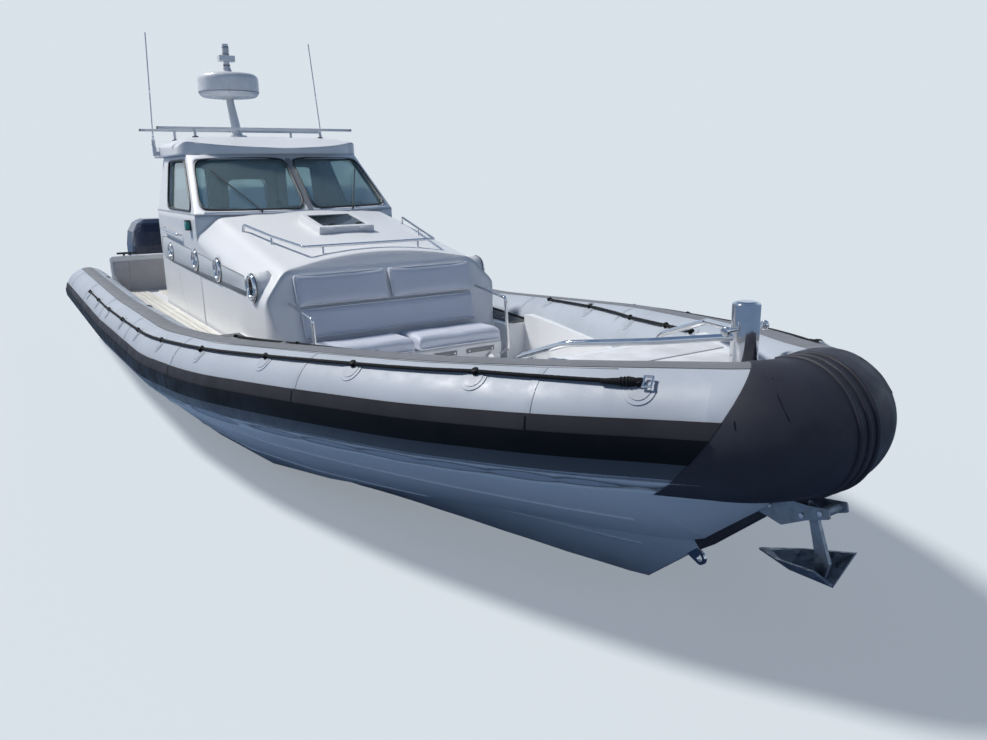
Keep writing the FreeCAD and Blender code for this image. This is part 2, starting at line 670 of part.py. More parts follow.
def make_roof():
    x_front, x_corner = ROOF_FRONT
    x_side = x_corner - 170.0
    end, aft_end = ROOF_HALF - 120.0, ROOF_HALF - 30.0
    plan = Part.Wire([
        Part.Arc(V(x_corner, -end, 0), V(x_front, 0, 0), V(x_corner, end, 0)).toShape(),
        Part.Arc(V(x_corner, end, 0), V(x_corner - 60, ROOF_HALF - 40, 0), V(x_side, ROOF_HALF, 0)).toShape(),
        Part.LineSegment(V(x_side, ROOF_HALF, 0), V(ROOF_AFT_X, aft_end, 0)).toShape(),
        Part.LineSegment(V(ROOF_AFT_X, aft_end, 0), V(ROOF_AFT_X, -aft_end, 0)).toShape(),
        Part.LineSegment(V(ROOF_AFT_X, -aft_end, 0), V(x_side, -ROOF_HALF, 0)).toShape(),
        Part.Arc(V(x_side, -ROOF_HALF, 0), V(x_corner - 60, -ROOF_HALF + 40, 0),
                 V(x_corner, -end, 0)).toShape(),
    ])
    slab = Part.Face(plan).extrude(V(0, 0, 3000))
    side = prism_y([
        (x_front + 5.0, HEAD_Z + SKIN_GAP),
        (x_front + 5.0, HEAD_Z + 55.0),
        (-2150.0, ROOF_TOP_Z - 45.0),
        (-3000.0, ROOF_TOP_Z),
        (ROOF_AFT_X - 5.0, ROOF_TOP_Z - 50.0),
        (ROOF_AFT_X - 5.0, HEAD_Z + SKIN_GAP),
    ], -1100.0, 1100.0, [0, 30.0, 600.0, 300.0, 40.0, 0])
    wide, brim = ROOF_HALF + 5.0, ROOF_HALF - ROOF_BRIM
    across = prism_x([
        (-wide, HEAD_Z), (-wide, HEAD_Z + ROOF_SIDE), (-brim, ROOF_TOP_Z - 45.0),
        (0.0, ROOF_TOP_Z + 5.0),
        (brim, ROOF_TOP_Z - 45.0), (wide, HEAD_Z + ROOF_SIDE), (wide, HEAD_Z),
    ], ROOF_AFT_X - 400.0, -1000.0, [0, 80.0, 200.0, 4000.0, 200.0, 80.0, 0])
    roof = slab.common(side).common(across)
    half = SCREEN_HEAD[2] - PILLAR - 5.0
    ahead, behind = -1900.0, HEAD_AFT_X + PILLAR + 10.0
    corners = [(ahead, -half), (ahead, half), (behind, half), (behind, -half)]
    hollow = prism_z(corners, HEAD_Z - 5.0, HEAD_Z + 80.0, 60.0)
    keep("wheelhouse_roof", roof.cut(hollow))
    return roof


def make_hatch():
    x, lift, length, breadth = HATCH
    slope = math.degrees(math.atan2(ROOF_CENTRE_AFT[1] - ROOF_CENTRE_FWD[1],
                                    ROOF_CENTRE_FWD[0] - ROOF_CENTRE_AFT[0]))
    top = roof_z(x)
    frame = box(-length / 2, length / 2, -breadth / 2, breadth / 2, -10.0, 22.0)
    hole_x, hole_y = length / 2 - HATCH_RIM, breadth / 2 - HATCH_RIM
    frame = frame.cut(box(-hole_x, hole_x, -hole_y, hole_y, -50.0, 50.0))
    lid = box(-length / 2, length / 2, -breadth / 2, breadth / 2, 22.5, 50.0)
    lid = lid.makeFillet(8.0, edges_at(lid, 50.0))
    pivot = V(length / 2 + KNUCKLE_R, 0, 36.0)
    for y in (-150.0, 150.0):
        lid = lid.fuse(rod((pivot.x, y - 35.0, pivot.z), (pivot.x, y + 35.0, pivot.z), KNUCKLE_R + 0.5))
    pane_gap = box(-length / 2 + 50, length / 2 - 50, -breadth / 2 + 50, breadth / 2 - 50, 0.0, 60.0)
    lid = lid.cut(pane_gap)
    pane = box(-length / 2 + 50 + SKIN_GAP, length / 2 - 50 - SKIN_GAP, -breadth / 2 + 50 + SKIN_GAP,
               breadth / 2 - 50 - SKIN_GAP, 36.0, 46.0)
    place = FreeCAD.Placement(V(x, 0, top), FreeCAD.Rotation(V(0, 1, 0), slope))
    cutter = trunk(0.0)
    for name, shape in (("hatch_frame", frame), ("hatch_lid", lid), ("hatch_glass", pane)):
        moved = shape.copy()
        moved.Placement = place
        if name == "hatch_frame":
            moved = moved.cut(cutter)
        keep(name, moved)
    hinge = place.multVec(pivot)
    print("hatch hinge", [round(c, 1) for c in (hinge.x, hinge.y, hinge.z)])


def make_seat():
    base = prism_y([
        (FRONT_FOOT[0] + SKIN_GAP, BOW_SOLE_Z + SKIN_GAP), (FRONT_FOOT[0] + SKIN_GAP, SEAT_BASE_TOP),
        (SEAT_FRONT_X, SEAT_BASE_TOP), (SEAT_FRONT_X - 40.0, BOW_SOLE_Z + SKIN_GAP),
    ], -SEAT_HALF, SEAT_HALF, [0, 0, 25.0, 0])
    keep("seat_base", base)
    for side in (1, -1):
        y0, y1 = sorted((side * 4.0, side * SEAT_HALF))
        cushion = prism_y([
            (FRONT_FOOT[0] + PAD_T + 3.0, SEAT_BASE_TOP + SKIN_GAP),
            (FRONT_FOOT[0] + PAD_T - 20.0, SEAT_BASE_TOP + CUSHION_T),
            (SEAT_FRONT_X + 20.0, SEAT_BASE_TOP + CUSHION_T),
            (SEAT_FRONT_X + 20.0, SEAT_BASE_TOP + SKIN_GAP),
        ], y0, y1, [5.0, 10.0, 40.0, 15.0])
        keep("seat_cushions", cushion)
    # Back pads lie on the raked front face
    foot, top = V(FRONT_FOOT[0], 0, FRONT_FOOT[1]), V(FRONT_TOP[0], 0, FRONT_TOP[1])
    rise = (top - foot).normalize()
    out = V(rise.z, 0, -rise.x)

    def pad(s0, s1, y0, y1, thick, shift=0.5):
        a, b = foot + rise * s0 + out * shift, foot + rise * s1 + out * shift
        points = [a, b, b + out * thick, a + out * thick]
        return prism_y([(p.x, p.z) for p in points], y0, y1, [3.0, 3.0, 18.0, 10.0])

    length = (top - foot).Length
    keep("back_pads", pad(6.0, length * 0.47, -720.0, 720.0, PAD_T * 0.8))
    for side in (1, -1):
        y0, y1 = sorted((side * 8.0, side * 740.0))
        keep("back_pads", pad(length * 0.47 + 6.0, length * 0.96, y0, y1, PAD_T))


def make_rails():
    # Coachroof rail, a low bar round the front and both sides, on short posts
    lift, front_z = 62.0, 1448.0
    aft, middle, fwd = -527.0, -70.0, 388.0
    port = [(aft - 30.0, 726.0, roof_z(aft, 726.0) - 10.0), (aft, 724.0, roof_z(aft, 724.0) + lift),
            (middle, 645.0, roof_z(middle, 645.0) + lift), (fwd, 552.0, front_z)]
    bar = bent_bar(port + [(x, -y, z) for x, y, z in reversed(port)], 11.0, 25.0)
    for y in (400.0, -400.0):
        bar = bar.fuse(rod((fwd, y, roof_z(fwd, y) - 20.0), (fwd, y, front_z), 8.0))
    for y in (645.0, -645.0):
        bar = bar.fuse(rod((middle, y, roof_z(middle, y) - 20.0), (middle, y, roof_z(middle, y) + lift), 8.0))
    keep("coachroof_rail", bar.cut(trunk(-SKIN_GAP)))

    # Seat side rails
    for side in (1, -1):
        y = side * 775.0
        rail = bent_bar([(640.0, y, 1075.0), (1095.0, y, 1030.0), (1130.0, y, 640.0),
                         (1085.0, side * 752.0, 600.0),
                         (1060.0, side * 735.0, 597.0)], RAIL_R - 2.0, 30.0)
        keep("seat_rails", rail.cut([trunk(-SKIN_GAP), nodes["seat_base"][0]]))

    # Bow rails run from the deck up and forward to the post
    for side in (1, -1):
        rail = bent_bar([
            (2980.0, side * 478.0, STEP_Z + SKIN_GAP), (2980.0, side * 478.0, STEP_Z + 110.0),
            (3090.0, side * 468.0, 1100.0), (3430.0, side * 445.0, 1222.0), (3760.0, side * 250.0, 1262.0),
            (POST_X - 20.0, side * 40.0, 1300.0),
        ], BOW_RAIL_R, [0, 60.0, 90.0, 120.0, 150.0, 0])
        keep("bow_rails", rail.cut(rod((POST_X, 0, 900.0), (POST_X, 0, 1500.0), POST_R + SKIN_GAP)))

    # Grab rails on the cabin sides
    for side in (1, -1):
        y = side * (CABIN_HALF + 45.0)
        wall = side * (CABIN_HALF + SKIN_GAP)
        keep("grab_rails",
             bent_bar([(-1820.0, wall, 1440.0), (-1820.0, y, 1440.0), (-2560.0, y, 1475.0),
                       (-2560.0, wall, 1475.0)], 11.0, 18.0))


def make_post(cap_cut, tube_cut):
    post = rod((POST_X, 0, FOREDECK_Z + SKIN_GAP), (POST_X, 0, POST_TOP), POST_R)
    post = post.makeChamfer(4.0, edges_at(post, POST_TOP))
    pin = rod((POST_X, -PIN_HALF, PIN_Z), (POST_X, PIN_HALF, PIN_Z), PIN_R)
    flange = rod((POST_X, 0, FOREDECK_Z + SKIN_GAP), (POST_X, 0, FOREDECK_Z + 10.0), POST_R + 33.0)
    keep("samson_post", post.fuse([pin, flange.cut([cap_cut, tube_cut])]))


def make_stem(hull):
    # Chafe plate down the stem
    low, high = (3900.0, 310.0), (4246.0, 611.0)
    plate = prism_y([(low[0] - 60.0, low[1] + 60.0), (low[0] + 8.0, low[1] - 6.0),
                     (high[0] + 4.0, high[1] - 6.0), (high[0] - 40.0, high[1] + 60.0)], -48.0, 48.0)
    plate = plate.cut(hull)
    keep("stem_plate", plate)
    # Bow eye, a lug with a round hole
    eye = V(3870.0, 0, 235.0)
    lug = rod((eye.x, -8.0, eye.z), (eye.x, 8.0, eye.z), 32.0).fuse(
        prism_y([(3760.0, 240.0), (3830.0, 300.0), (eye.x + 22, eye.z + 22), (eye.x - 12, eye.z - 30)],
                -8.0, 8.0))
    lug = lug.cut(rod((eye.x, -20.0, eye.z), (eye.x, 20.0, eye.z), 16.0))
    keep("bow_eye", lug.cut(hull))
    return plate


def make_bow_roller(hull, plate, cap_cut):
    # Bracket under the nose with two cheeks and a roller
    for side in (1, -1):
        y0, y1 = sorted((side * 52.0, side * 60.0))
        keep("bow_roller",
             prism_y([(4215.0, 610.0), (4215.0, 700.0), (4440.0, 712.0), (4530.0, 728.0), (4540.0, 690.0),
                                    (4440.0, 650.0), (4330.0, 590.0)], y0, y1, 8.0).cut([hull, cap_cut]))
    keep("bow_roller", rod((4500.0, -51.7, 700.0), (4500.0, 51.7, 700.0), 20.0))
    keep("bow_roller",
         prism_y([(4215.0, 611.0), (4215.0, 619.0), (4320.0, 619.0), (4320.0, 611.0)], -52.0,
                 52.0).cut([hull, plate, cap_cut]))
    keep("bow_roller", rod((4420.0, -52.0, 664.0), (4420.0, 52.0, 664.0), 7.0))
    # Plough anchor hanging from the roller
    shank = prism_y([(4402.0, 690.0), (4438.0, 690.0), (4520.0, 480.0), (4500.0, 400.0), (4455.0, 400.0),
                     (4460.0, 480.0)], -9.0, 9.0, 6.0)
    fluke = Part.makeLoft([
        polygon(4190.0, [(-6.0, 418.0), (6.0, 418.0), (0.0, 408.0)]),
        polygon(4340.0, [(-85.0, 452.0), (85.0, 452.0), (0.0, 380.0)]),
        polygon(4540.0, [(-140.0, 500.0), (140.0, 500.0), (0.0, 390.0)]),
    ], True, True)
    hollow = Part.makeLoft([
        polygon(4230.0, [(-10.0, 450.0), (10.0, 450.0), (0.0, 440.0)]),
        polygon(4340.0, [(-110.0, 482.0), (110.0, 482.0), (0.0, 392.0)]),
        polygon(4560.0, [(-180.0, 545.0), (180.0, 545.0), (0.0, 404.0)]),
    ], True, True)
    shank = shank.cut(rod((4420.0, -50.0, 664.0), (4420.0, 50.0, 664.0), 7.3))
    keep("anchor", shank.fuse(fluke.cut(hollow)))


def make_rack(roof):
    for x, z in BARS:
        bar = box(x - BAR_HALF, x + BAR_HALF, -RACK_HALF, RACK_HALF, z - BAR_T / 2, z + BAR_T / 2)
        keep("roof_rack", bar)
        for y in (-RACK_POST_Y, RACK_POST_Y):
            post = rod((x, y, ROOF_TOP_Z - 120.0), (x, y, z - BAR_T / 2), RACK_POST_R)
            keep("roof_rack", post.cut(roof))
    for side in (1, -1):
        # A ratchet foot on the roof's side holds each antenna
        foot_x, foot_low, foot_high = ANTENNA_FOOT
        y = side * ANTENNA_Y
        tip_x, tip_y, tip_z = ANTENNA_TIP
        base = rod((foot_x, y, foot_low), (foot_x, y, foot_high), ANTENNA_FOOT_R)
        whip = rod((foot_x, y, foot_high - 25.0), (tip_x, side * tip_y, tip_z), ANTENNA_R)
        y0, y1 = sorted((side * (ROOF_HALF - 60.0), y))
        arm = box(foot_x - 18.0, foot_x + 18.0, y0, y1, foot_low + 5.0, foot_low + 45.0)
        keep("antennas", base.fuse([whip, arm]).cut(roof))


def make_mast(roof):
    foot, head = V(MAST_X, 0, ROOF_TOP_Z - 20.0), V(DOME_X, 0, 2785.0)
    column = Part.makeCone(54.0, 40.0, (head - foot).Length, foot, head - foot)
    plate = rod((DOME_X, 0, 2800.0), (DOME_X, 0, 2811.5), 95.0)
    shoe = rod((MAST_X, 0, ROOF_TOP_Z - 30.0), (MAST_X, 0, ROOF_TOP_Z + 12.0), 95.0)
    gap = 2.0
    bar_x, bar_z = BARS[1]
    half, tall = BAR_HALF + gap, BAR_T / 2 + gap
    bar = box(bar_x - half, bar_x + half, -RACK_HALF, RACK_HALF, bar_z - tall, bar_z + tall)
    keep("radar_mast", column.fuse([plate, shoe]).cut([roof, bar]))
    dome = Part.makeCylinder(322.5, 248.0, V(DOME_X, 0, 2812.0))
    dome = dome.makeFillet(70.0,
                           [e for e in dome.Edges if e.BoundBox.ZLength < 1 and e.BoundBox.XLength > 300])
    keep("radar_dome", dome)
    stalk = Part.makeCone(60.0, 30.0, 90.0, V(DOME_X, 0, 3060.3))
    keep("mast_light", stalk.fuse([
        Part.makeSphere(34.0, V(DOME_X, 0, 3165.0)),
        box(DOME_X - 46.0, DOME_X + 44.0, -85.0, 85.0, 3190.0, 3250.0),
        rod((DOME_X, 0.0, 3240.0), (DOME_X, 0.0, 3370.0), 34.0),
    ]))


def screen_point(y, z, off):
    """A point on the windscreen's outside, moved outwards."""
    t = (z - SILL_Z) / (HEAD_Z - SILL_Z)
    centre = SCREEN_BASE[0] + (SCREEN_HEAD[0] - SCREEN_BASE[0]) * t
    corner = SCREEN_BASE[1] + (SCREEN_HEAD[1] - SCREEN_BASE[1]) * t
    half = SCREEN_BASE[2] + (SCREEN_HEAD[2] - SCREEN_BASE[2]) * t
    return V(centre - (centre - corner) * (y / half) ** 2 + off * 0.64, y, z + off * 0.77)


def make_fittings():
    for side in (1, -1):
        y0, y1 = sorted((side * (CABIN_HALF + SKIN_GAP), side * (CABIN_HALF + 40.0)))
        keep("nav_lights", box(-1480.0, -1400.0, y0, y1, 1500.0, 1590.0))
    # Cleats on the aft bulkhead and the foredeck
    for x, y, z in ((BULKHEAD_X - 30.0, 1120.0, BULKHEAD_TOP + SKIN_GAP),
                    (BULKHEAD_X - 30.0, -1120.0, BULKHEAD_TOP + SKIN_GAP)):
        feet = [rod((x, y + d, z), (x, y + d, z + 45.0), 12.0) for d in (-35.0, 35.0)]
        horn = rod((x, y - 110.0, z + 48.0), (x, y + 110.0, z + 48.0), 12.0)
        keep("cleats", horn.fuse(feet))
    # Wipers lie on the front glass
    for side in (1, -1):
        pivot, tip = screen_point(side * 430.0, SILL_Z + 16.0, 22.0), screen_point(side * 700.0, 2000.0, 22.0)
        stub = screen_point(side * 430.0, SILL_Z + 16.0, 6.0)
        arm = Part.makeCylinder(6.0, (tip - pivot).Length, pivot, tip - pivot)
        keep("wipers", arm.fuse(Part.makeCylinder(9.0, 20.0, stub, V(0.64, 0, 0.77))))


def make_panels(tube_cut):
    # Grey lining on the aft bulkhead
    keep("cockpit_panel",
         box(BULKHEAD_X + SKIN_GAP, BULKHEAD_X + 14.0, -1120.0, 1120.0, DECK_Z + SKIN_GAP,
             BULKHEAD_TOP - 45.0))
    # Slatted tread on the cockpit sole and side decks
    start, end = BULKHEAD_X + 40.0, LOCKER_X - 10.0
    for side in (1, -1):
        for row in range(4):
            y = CABIN_HALF + 22.0 + row * 56.0
            y0, y1 = sorted((side * y, side * (y + 48.0)))
            slat = box(start, end, y0, y1, DECK_Z + SKIN_GAP, DECK_Z + 12.0)
            keep("deck_slats", slat.cut(tube_cut))
    for row in range(-15, 16):
        keep("deck_slats",
             box(start, CABIN_AFT_X - 30.0, row * 56.0 - 24.0, row * 56.0 + 24.0, DECK_Z + SKIN_GAP,
                 DECK_Z + 12.0))


def make_interior():
    floor = 400.0
    console = prism_y([(-1480.0, floor + SKIN_GAP), (-1560.0, 1400.0), (-1420.0, 1590.0), (-1100.0, 1600.0),
                       (-1080.0, floor + SKIN_GAP)],
                      -850.0, 850.0, [0, 20.0, 40.0, 20.0, 0])
    inset = WALL + 5.0
    room = trunk(inset).fuse([house(inset, DECK_Z, SILL_Z),
                              box(-2000.0, 0.0, inset - CABIN_HALF, CABIN_HALF - inset, floor, DECK_Z + 1.0)])
    console = console.common(room)
    keep("helm_console", console.cut(box(-2000.0, -1000.0, -160.0, 330.0, 300.0, 1350.0)))
    for side in (1, -1):
        y = side * 470.0
        pedestal = rod((-2180.0, y, floor + SKIN_GAP), (-2180.0, y, 980.0), 70.0)
        cushion = box(-2400.0, -1960.0, y - 230.0, y + 230.0, 980.0, 1090.0)
        back = prism_y([(-2430.0, 1050.0), (-2500.0, 1640.0), (-2410.0, 1650.0), (-2330.0, 1050.0)],
                       y - 220.0, y + 220.0, 30.0)
        keep("pilot_seats", pedestal.fuse([cushion, back]))
    # Steering wheel on the starboard side of the console
    hub = V(-1580.0, -470.0, 1420.0)
    axis = V(-0.9, 0, 0.436)
    rim = Part.makeTorus(175.0, 13.0, hub + axis * 60.0, axis)
    boss = Part.makeCylinder(38.0, 30.0, hub + axis * 35.0, axis)
    wheel = rim.fuse(boss)
    for turn in range(3):
        spoke = Part.makeCylinder(9.0, 172.0, hub + axis * 50.0, V(0, 1, 0))
        spoke.rotate(hub + axis * 50.0, axis, 90.0 + 120.0 * turn)
        wheel = wheel.fuse(spoke)
    keep("steering_wheel", wheel)
    column = Part.makeCylinder(24.0, 94.6, hub - axis * 60.0, axis)
    keep("helm_column", column.cut(console))


def make_door():
    face = CABIN_AFT_X - SKIN_GAP
    half = DOOR_HALF + DOOR_LAP
    leaf = prism_x([(-half, DOOR_FOOT - DOOR_LAP), (half, DOOR_FOOT - DOOR_LAP), (half, DOOR_HEAD + DOOR_LAP),
                    (-half, DOOR_HEAD + DOOR_LAP)], face - DOOR_T, face, 20.0)
    light = [(-210.0, 1320.0), (210.0, 1320.0), (210.0, 1930.0), (-210.0, 1930.0)]
    keep("cabin_door", leaf.cut(prism_x(light, face - 100.0, face + 100.0, 40.0)))
    pane = [(math.copysign(abs(y) - SKIN_GAP, y), z - math.copysign(SKIN_GAP, z - 1600.0)) for y, z in light]
    keep("door_glass", prism_x(pane, face - 19.0, face - 13.0, 40.0))
    for z in (900.0, 1400.0, 1850.0):
        keep("cabin_door",
             rod((face - DOOR_T - 9.0, half, z - 40.0), (face - DOOR_T - 9.0, half, z + 40.0), 8.9))


def make_engine(side, word):
    y = side * ENGINE_Y
    # Clamp bracket, fixed to the transom
    tilt_hole = rod((TILT_X, y - 200.0, TILT_Z), (TILT_X, y + 200.0, TILT_Z), 20.3)
    for d in (-110.0, 110.0):
        y0, y1 = y + d - 18.0, y + d + 18.0
        keep(word + "_bracket", prism_y([
            (TRANSOM_X - SKIN_GAP, 40.0), (TRANSOM_X - SKIN_GAP, TRANSOM_TOP + 30.0),
            (TILT_X + 55.0, TILT_Z + 55.0), (TILT_X - 45.0, TILT_Z + 45.0),
            (TILT_X - 45.0, TILT_Z - 45.0), (TRANSOM_X - 60.0, 40.0),
        ], y0, y1, [0, 10.0, 30.0, 30.0, 30.0, 10.0]).cut(tilt_hole))
    # Swivel bracket with its tilt tube
    tube = rod((TILT_X, y - 150.0, TILT_Z), (TILT_X, y + 150.0, TILT_Z), 20.0)
    arm = prism_y([(TILT_X + 30.0, TILT_Z + 38.0), (STEER_X - 45.0, TILT_Z + 60.0), (STEER_X - 45.0, 60.0),
                   (STEER_X + 60.0, 60.0),
                   (TILT_X + 30.0, TILT_Z - 60.0)], y - 85.0, y + 85.0, [20.0, 20.0, 15.0, 15.0, 20.0])
    arm = arm.cut(rod((STEER_X, y, -100.0), (STEER_X, y, 700.0), 34.3))
    keep(word + "_swivel", tube.fuse(arm))
    # Leg: steering pin, midsection, plate, gearcase and skeg
    pin = rod((STEER_X, y, 30.0), (STEER_X, y, TILT_Z + 110.0), 34.0)
    lower_yoke = box(STEER_X - 190.0, STEER_X + 40.0, y - 60.0, y + 60.0, 20.0, 55.0)
    upper_yoke = box(STEER_X - 190.0, STEER_X + 40.0, y - 60.0, y + 60.0, TILT_Z + 66.0, TILT_Z + 110.0)
    mid_x = STEER_X - 250.0
    mid = prism_z([(mid_x + 130.0, y - 70.0), (mid_x + 130.0, y + 70.0), (mid_x - 150.0, y + 75.0),
                   (mid_x - 150.0, y - 75.0)], -200.0, 600.0, 40.0)
    strut = prism_z([(mid_x + 110.0, y - 42.0), (mid_x + 110.0, y + 42.0), (mid_x - 120.0, y + 42.0),
                     (mid_x - 120.0, y - 42.0)], SHAFT_Z, -190.0, 38.0)
    plate = prism_z([(mid_x + 130.0, y - 60.0), (mid_x + 130.0, y + 60.0), (mid_x - 330.0, y + 120.0),
                     (mid_x - 330.0, y - 120.0)], PLATE_Z, PLATE_Z + 14.0, 40.0)
    case = rod((mid_x + 150.0, y, SHAFT_Z), (mid_x - 190.0, y, SHAFT_Z), 62.0)
    nose = Part.makeSphere(62.0, V(mid_x + 150.0, y, SHAFT_Z))
    skeg = prism_y([
        (mid_x + 90.0, SHAFT_Z - 40.0), (mid_x - 60.0, SHAFT_Z - 230.0),
        (mid_x - 150.0, SHAFT_Z - 230.0), (mid_x - 170.0, SHAFT_Z - 40.0),
    ], y - 7.0, y + 7.0, 20.0)
    pan = prism_z([(STEER_X - 15.0, y - 180.0), (STEER_X - 15.0, y + 180.0), (STEER_X - 700.0, y + 190.0),
                   (STEER_X - 700.0, y - 190.0)], 560.0, 640.0, 110.0)
    keep(word + "_leg", mid.fuse([pin, lower_yoke, upper_yoke, strut, plate, case, nose, skeg, pan]))
    # Cowl, a rounded loft
    front = STEER_X + 85.0
    rows = [
        (640.3, 20.0, 0.88, 150.0),
        (760.0, 0.0, 1.0, 190.0),
        (1080.0, 15.0, 1.0, 220.0),
        (1260.0, 70.0, 0.92, 215.0),
        (1370.0, 160.0, 0.70, 160.0),
        (COWL_TOP, 275.0, 0.38, 95.0),
    ]
    sections = []
    for z, trim, share, radius in rows:
        half = COWL_WIDTH / 2 * share
        x0, x1 = front - trim, front - COWL_LENGTH + trim
        sections.append(rounded_wire([(x0, y - half, z), (x0, y + half, z), (x1, y + half, z),
                                      (x1, y - half, z)], radius * share * 0.9))
    keep(word + "_cowl", Part.makeLoft(sections, True, True))
    # Propeller with three blades
    hub_x = mid_x - 190.0
    hub = rod((hub_x - 0.5, y, SHAFT_Z), (hub_x - 145.0, y, SHAFT_Z), 52.0)
    prop = hub
    for turn in range(3):
        blade = prism_x([
            (y - 60.0, SHAFT_Z + 40.0), (y - 95.0, SHAFT_Z + 120.0), (y - 40.0, SHAFT_Z + PROP_R),
            (y + 55.0, SHAFT_Z + PROP_R - 30.0), (y + 50.0, SHAFT_Z + 40.0),
        ], hub_x - 80.0, hub_x - 70.0, [10.0, 40.0, 45.0, 45.0, 10.0])
        blade.rotate(V(hub_x - 75.0, y, SHAFT_Z), V(0, 0, 1), side * 32.0)
        blade.rotate(V(hub_x, y, SHAFT_Z), V(1, 0, 0), 120.0 * turn)
        prop = prop.fuse(blade)
    keep(word + "_propeller", prop)


def make_all():
    tube_cut, edges = make_collar()
    cap_cut = make_nose_cap(tube_cut, edges)
    make_bands(edges)
    make_ropes(edges)
    hull = make_hull(tube_cut, cap_cut, edges)
    make_deck(tube_cut, cap_cut)
    make_cabin()
    make_portlights()
    roof = make_roof()
    make_hatch()
    make_seat()
    make_rails()
    make_post(cap_cut, tube_cut)
    plate = make_stem(hull)
    make_bow_roller(hull, plate, cap_cut)
    make_rack(roof)
    make_mast(roof)
    make_fittings()
    make_panels(tube_cut)
    make_interior()
    make_door()
    for side, word in ((-1, "stbd"), (1, "port")):
        make_engine(side, word)


def write_parts():
    for name, shapes in nodes.items():
        solids = [solid for shape in shapes for solid in shape.Solids]
        shape = solids[0] if len(solids) == 1 else Part.makeCompound(solids)
        shape.exportStep("parts/" + name + ".step")
        bounds = shape.BoundBox
        print(name, len(solids), "valid" if shape.isValid() else "INVALID", round(shape.Volume / 1e9, 4),
              [round(v) for v in (bounds.XMin, bounds.XMax, bounds.YMin, bounds.YMax, bounds.ZMin,
                                  bounds.ZMax)])


make_all()
write_parts()
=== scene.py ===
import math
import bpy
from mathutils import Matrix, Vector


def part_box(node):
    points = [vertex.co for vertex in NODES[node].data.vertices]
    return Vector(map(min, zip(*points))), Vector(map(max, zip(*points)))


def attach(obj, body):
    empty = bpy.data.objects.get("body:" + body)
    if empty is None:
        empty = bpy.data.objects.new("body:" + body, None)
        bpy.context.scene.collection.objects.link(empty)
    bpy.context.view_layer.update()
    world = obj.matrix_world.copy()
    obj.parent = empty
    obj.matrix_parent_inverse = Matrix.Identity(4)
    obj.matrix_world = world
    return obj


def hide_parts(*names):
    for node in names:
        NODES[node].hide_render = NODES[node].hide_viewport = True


bl_info = {
    "name": "Inflatable Cabin Boat",
    "version": (1, 0, 0),
    "blender": (4, 5, 0),
    "location": "View3D > Sidebar > Boat",
    "description": "Finishes, soft goods and small fittings for a rigid inflatable cabin boat",
    "category": "Object",
}

import bpy
from mathutils import Matrix, Vector

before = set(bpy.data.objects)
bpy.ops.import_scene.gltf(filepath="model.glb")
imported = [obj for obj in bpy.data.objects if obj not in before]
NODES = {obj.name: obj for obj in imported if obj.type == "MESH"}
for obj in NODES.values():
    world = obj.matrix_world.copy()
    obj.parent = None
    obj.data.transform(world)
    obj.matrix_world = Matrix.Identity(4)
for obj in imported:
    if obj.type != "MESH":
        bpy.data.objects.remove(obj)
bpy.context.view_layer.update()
COLLAR = NODES["tube_collar"]
AHEAD = Vector((1.0, 0.0, 0.0))
TO_PORT = Vector((0.0, 1.0, 0.0))
UP = Vector((0.0, 0.0, 1.0))
# Both sides of the boat: sign of y, word in the names
SIDES = ((1, "port"), (-1, "stbd"))

# Port side centreline of the collar tube, from stern to nose: x, y, z
TUBE_LINE = (
    (-5.100, 1.455, 0.612),
    (-2.000, 1.484, 0.604),
    (0.000, 1.451, 0.621),
    (1.150, 1.356, 0.708),
    (2.200, 1.131, 0.810),
    (3.000, 0.866, 0.872),
    (3.650, 0.594, 0.936),
    (4.032, 0.355, 0.970),
    (4.358, 0.190, 1.003),
)
TUBE_RADIUS = 0.263
# Lifeline rings on the outside of the tube: x, angle up from outboard
LIFELINE_RINGS = (
    (-3.150, 48.0), (-2.450, 48.0), (-1.760, 48.0), (-1.060, 48.0), (-0.408, 49.5), (0.300, 52.0),
    (1.126, 55.0), (1.910, 56.0), (2.616, 58.0), (3.316, 59.5), (3.953, 54.0),
)
# Grab line rings on the inside of the tube at the bow: x, angle
GRABLINE_RINGS = ((1.040, 112.0), (1.771, 119.0), (2.447, 128.5), (2.934, 128.5), (3.262, 128.5))
# Seams on the nose cap's starboard side: places near its surface
CAP_SEAMS = (
    ((4.399, -0.269, 1.258), (4.460, -0.310, 1.223), (4.504, -0.326, 1.185), (4.548, -0.330, 1.135)),
    ((4.392, -0.446, 1.109), (4.398, -0.450, 1.095), (4.404, -0.453, 1.080)),
)
# Corners of the ring at a lifeline's end: ahead, up
END_RING = (
    (0.000, -0.027), (0.000, -0.027), (0.034, -0.025), (0.034, -0.025), (0.034, 0.025), (0.034, 0.025),
    (0.000, 0.027), (0.000, 0.027),
)
# Welded joints round the tube: x of each
TUBE_JOINTS = (-4.62, -3.35, -2.05, -0.72, 0.72, 2.26, 3.60)
# Angles of the wear band's two edges
TOP_BAND_ANGLES = (75.0, 100.0)
# Edges of the pale band and the dark stripe on the cabin side: x, z
BAND_TOP = (
    (-2.830, 1.190), (-2.800, 1.330), (-2.700, 1.392), (-2.157, 1.359), (-1.542, 1.326), (-1.072, 1.304),
    (-0.718, 1.282), (-0.327, 1.267), (0.085, 1.250), (0.180, 1.244),
)
STRIPE_TOP = (
    (-2.700, 1.162), (-2.262, 1.154), (-1.216, 1.147), (-0.248, 1.138), (0.200, 1.134), (0.200, 1.134),
)
STRIPE_BOTTOM = (
    (0.190, 1.096), (0.092, 1.097), (-0.260, 1.103), (-0.931, 1.105), (-1.554, 1.116), (-2.368, 1.141),
)
# Seam of the side moulding below the stripe: x, z
MOULDING_SEAM = ((-2.172, 1.100), (-2.020, 0.860), (-1.849, 0.667))
